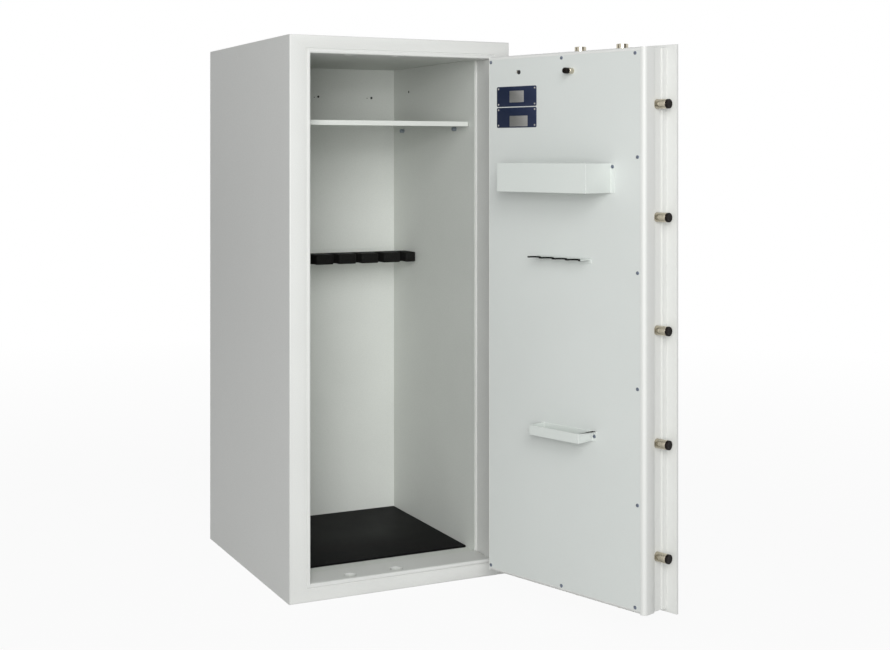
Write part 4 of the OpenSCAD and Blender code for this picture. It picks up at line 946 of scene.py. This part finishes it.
comb_outline = np.concatenate(
    [bend((low[0] + END_ROUND, low[1] + END_ROUND), END_ROUND, 180, 270, 5)]
    + [notch_edge((k - (NOTCHES - 1) / 2) * notch_pitch) for k in range(NOTCHES)]
    + [bend((high[0] - END_ROUND, low[1] + END_ROUND), END_ROUND, 270, 360, 5),
       bend((high[0] - COMB_SOFT, high[1] - COMB_SOFT), COMB_SOFT, 0, 90, 3),
       bend((low[0] + COMB_SOFT, high[1] - COMB_SOFT), COMB_SOFT, 90, 180, 3)])
make_piece("notched_foam_comb", soft_slab(comb_outline, low[2], high[2], COMB_SOFT), "comb_foam", "cabinet",
           ("barrel_comb",), smooth=50)
print("the comb has", NOTCHES, "notches", round(notch_pitch, 4), "apart")

# %% Mat
MAT_CORNER, MAT_SOFT = 0.006, 0.002
low, high = [np.array(c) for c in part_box("floor_mat")]
mat_outline = rounded_outline((high[0] - low[0]) / 2, (high[1] - low[1]) / 2, MAT_CORNER) + (high + low)[:2] / 2
make_piece("soft_floor_mat", soft_slab(mat_outline, low[2], high[2], MAT_SOFT), "mat_felt", "cabinet",
           ("floor_mat",), smooth=50)
print("the mat is", np.round(high - low, 3).tolist())

# %% [markdown]
# ## Small dark holes read from the picture
# The cover has one round hole with a black edge, and the liner's walls have a few plugged holes. Each is a black rolled
# ring round a flat black floor, and in the cover's hole that floor is painted shade that stands for the dark inside of
# the hole.
# No imported node stands for them, so a ray from the photograph's camera through each one finds its place on the surface.

# %% Hole rims
PANEL_HOLE, LINER_HOLES = (517.9, 72.0), ((318.3, 96.7), (371.4, 98.0), (408.7, 92.0))
PANEL_RIM, LINER_RIM = (0.0052, 0.0008), (0.0032, 0.0006)
FLOOR_RISE, FOOT_SUNK = 0.00005, 0.0002


def hole_rim(radius, rise):
    """A low rolled ring round a dark floor: out from the middle, over a small half circle, and down to the surface."""
    roll = bend((radius, 0.0), rise, 180, 0, 7)
    return turned([(0, FLOOR_RISE), (radius - rise, FLOOR_RISE)] + roll[1:].tolist()
                  + [(radius + rise, -FOOT_SUNK), (0, -FOOT_SUNK)], 40)


panel_hole_spot, normal = place_on(*PANEL_HOLE, nodes["inner_cover"])
# The black floor of the cover's hole is painted shade, closing the hole where its inside would be dark.
make_piece("panel_hole_rim", stood(hole_rim(*PANEL_RIM), panel_hole_spot, normal), "black_enamel", "door", ())
plugs = []
for x, y in LINER_HOLES:
    spot, normal = place_on(x, y, nodes["inner_liner"])
    plugs.append(stood(hole_rim(*LINER_RIM), spot, normal))
    print("plug at", np.round(spot, 3).tolist(), "normal", np.round(normal, 2).tolist())
make_piece("liner_hole_plugs", joined(plugs), "black_enamel", "cabinet", ())

# %% Places that stand for the image points
CORNER_BACK = 0.006
LOCK_SIDE, MIDDLE_LOW, MIDDLE_HIGH = -0.23, 0.8, 0.95


def middle_of(node, pick=0, axis=1, side=1):
    """The middle of one face of one of a door node's solids, at rest: the low or high face along an axis."""
    low, high = ends = solids_of(node, True)[pick]
    spot = (low + high) / 2
    spot[axis] = ends[side][axis]
    return swung(spot)[0]


middle_screw = next(k for k, (corner, _) in enumerate(solids_of("cover_screws", True))
                    if corner[0] < LOCK_SIDE and MIDDLE_LOW < corner[2] < MIDDLE_HIGH)
post_low, post_high = solids_of("lock_side_post", True)[0]
low, high = solids_of("rod_holder", True)[0]
feature_spots = {
    "cabinet_front_top_left": (outer_low[0], front_y, outer_high[2]),
    "cabinet_front_bottom_left": (outer_low[0], front_y, outer_low[2]),
    "cabinet_front_top_right": (outer_high[0], front_y, outer_high[2]),
    "door_top_free_corner": swung([post_low[0], post_high[1] - CORNER_BACK, post_high[2]])[0],
    "door_bottom_free_corner": swung([post_low[0], post_high[1] - CORNER_BACK, post_low[2]])[0],
    "middle_side_bolt_end": middle_of("side_bolt_tips", 2, 0, 0),
    "top_side_bolt_end": middle_of("side_bolt_tips", 4, 0, 0),
    "bottom_side_bolt_end": middle_of("side_bolt_tips", 0, 0, 0),
    "panel_stud_head": middle_of("panel_stud"),
    "panel_hole": panel_hole_spot,
    "upper_plate": middle_of("rating_plates", 1),
    "lower_plate": middle_of("rating_plates"),
    "document_tray_front": middle_of("document_tray"),
    "rod_holder_front": swung([(low[0] + high[0]) / 2, high[1], high[2] - HOLDER_SHEET / 2])[0],
    "small_tray_front": middle_of("small_tray"),
    "middle_cover_screw": middle_of("cover_screws", middle_screw),
}
print(len(feature_spots), "places for", len(image_points), "points")

# %% [markdown]
# ## Measuring the model against the photograph
# The finished vertices are projected with the same formula that places the small fittings.
# The farthest ones give the object's edges, and each feature is measured from the middle of what stands for it.

# %% Offsets from the image points
def finished_points(item):
    """Every finished vertex of one object, with its modifiers."""
    ready = item.evaluated_get(bpy.context.evaluated_depsgraph_get())
    flat = np.zeros(len(ready.data.vertices) * 3, np.float32)
    ready.data.vertices.foreach_get("co", flat)
    return flat.reshape(-1, 3)


bpy.context.view_layer.update()
shown = [item for item in bpy.data.objects if item.type == "MESH" and not item.hide_render and item not in studio]
spread = np.concatenate([to_pixels(finished_points(item)) for item in shown])
(left, top), (right, bottom) = spread.min(0), spread.max(0)
reached = {"left": left, "right": right, "top": top, "bottom": bottom}
offsets = {title: float(reached[title] - edge_points[title]) for title in reached}
for title, spot in feature_spots.items():
    x, y = to_pixels(spot)[0]
    offsets[title] = [float(x - image_points[title][0]), float(y - image_points[title][1])]
for title, off in offsets.items():
    print(title, np.round(off, 1))
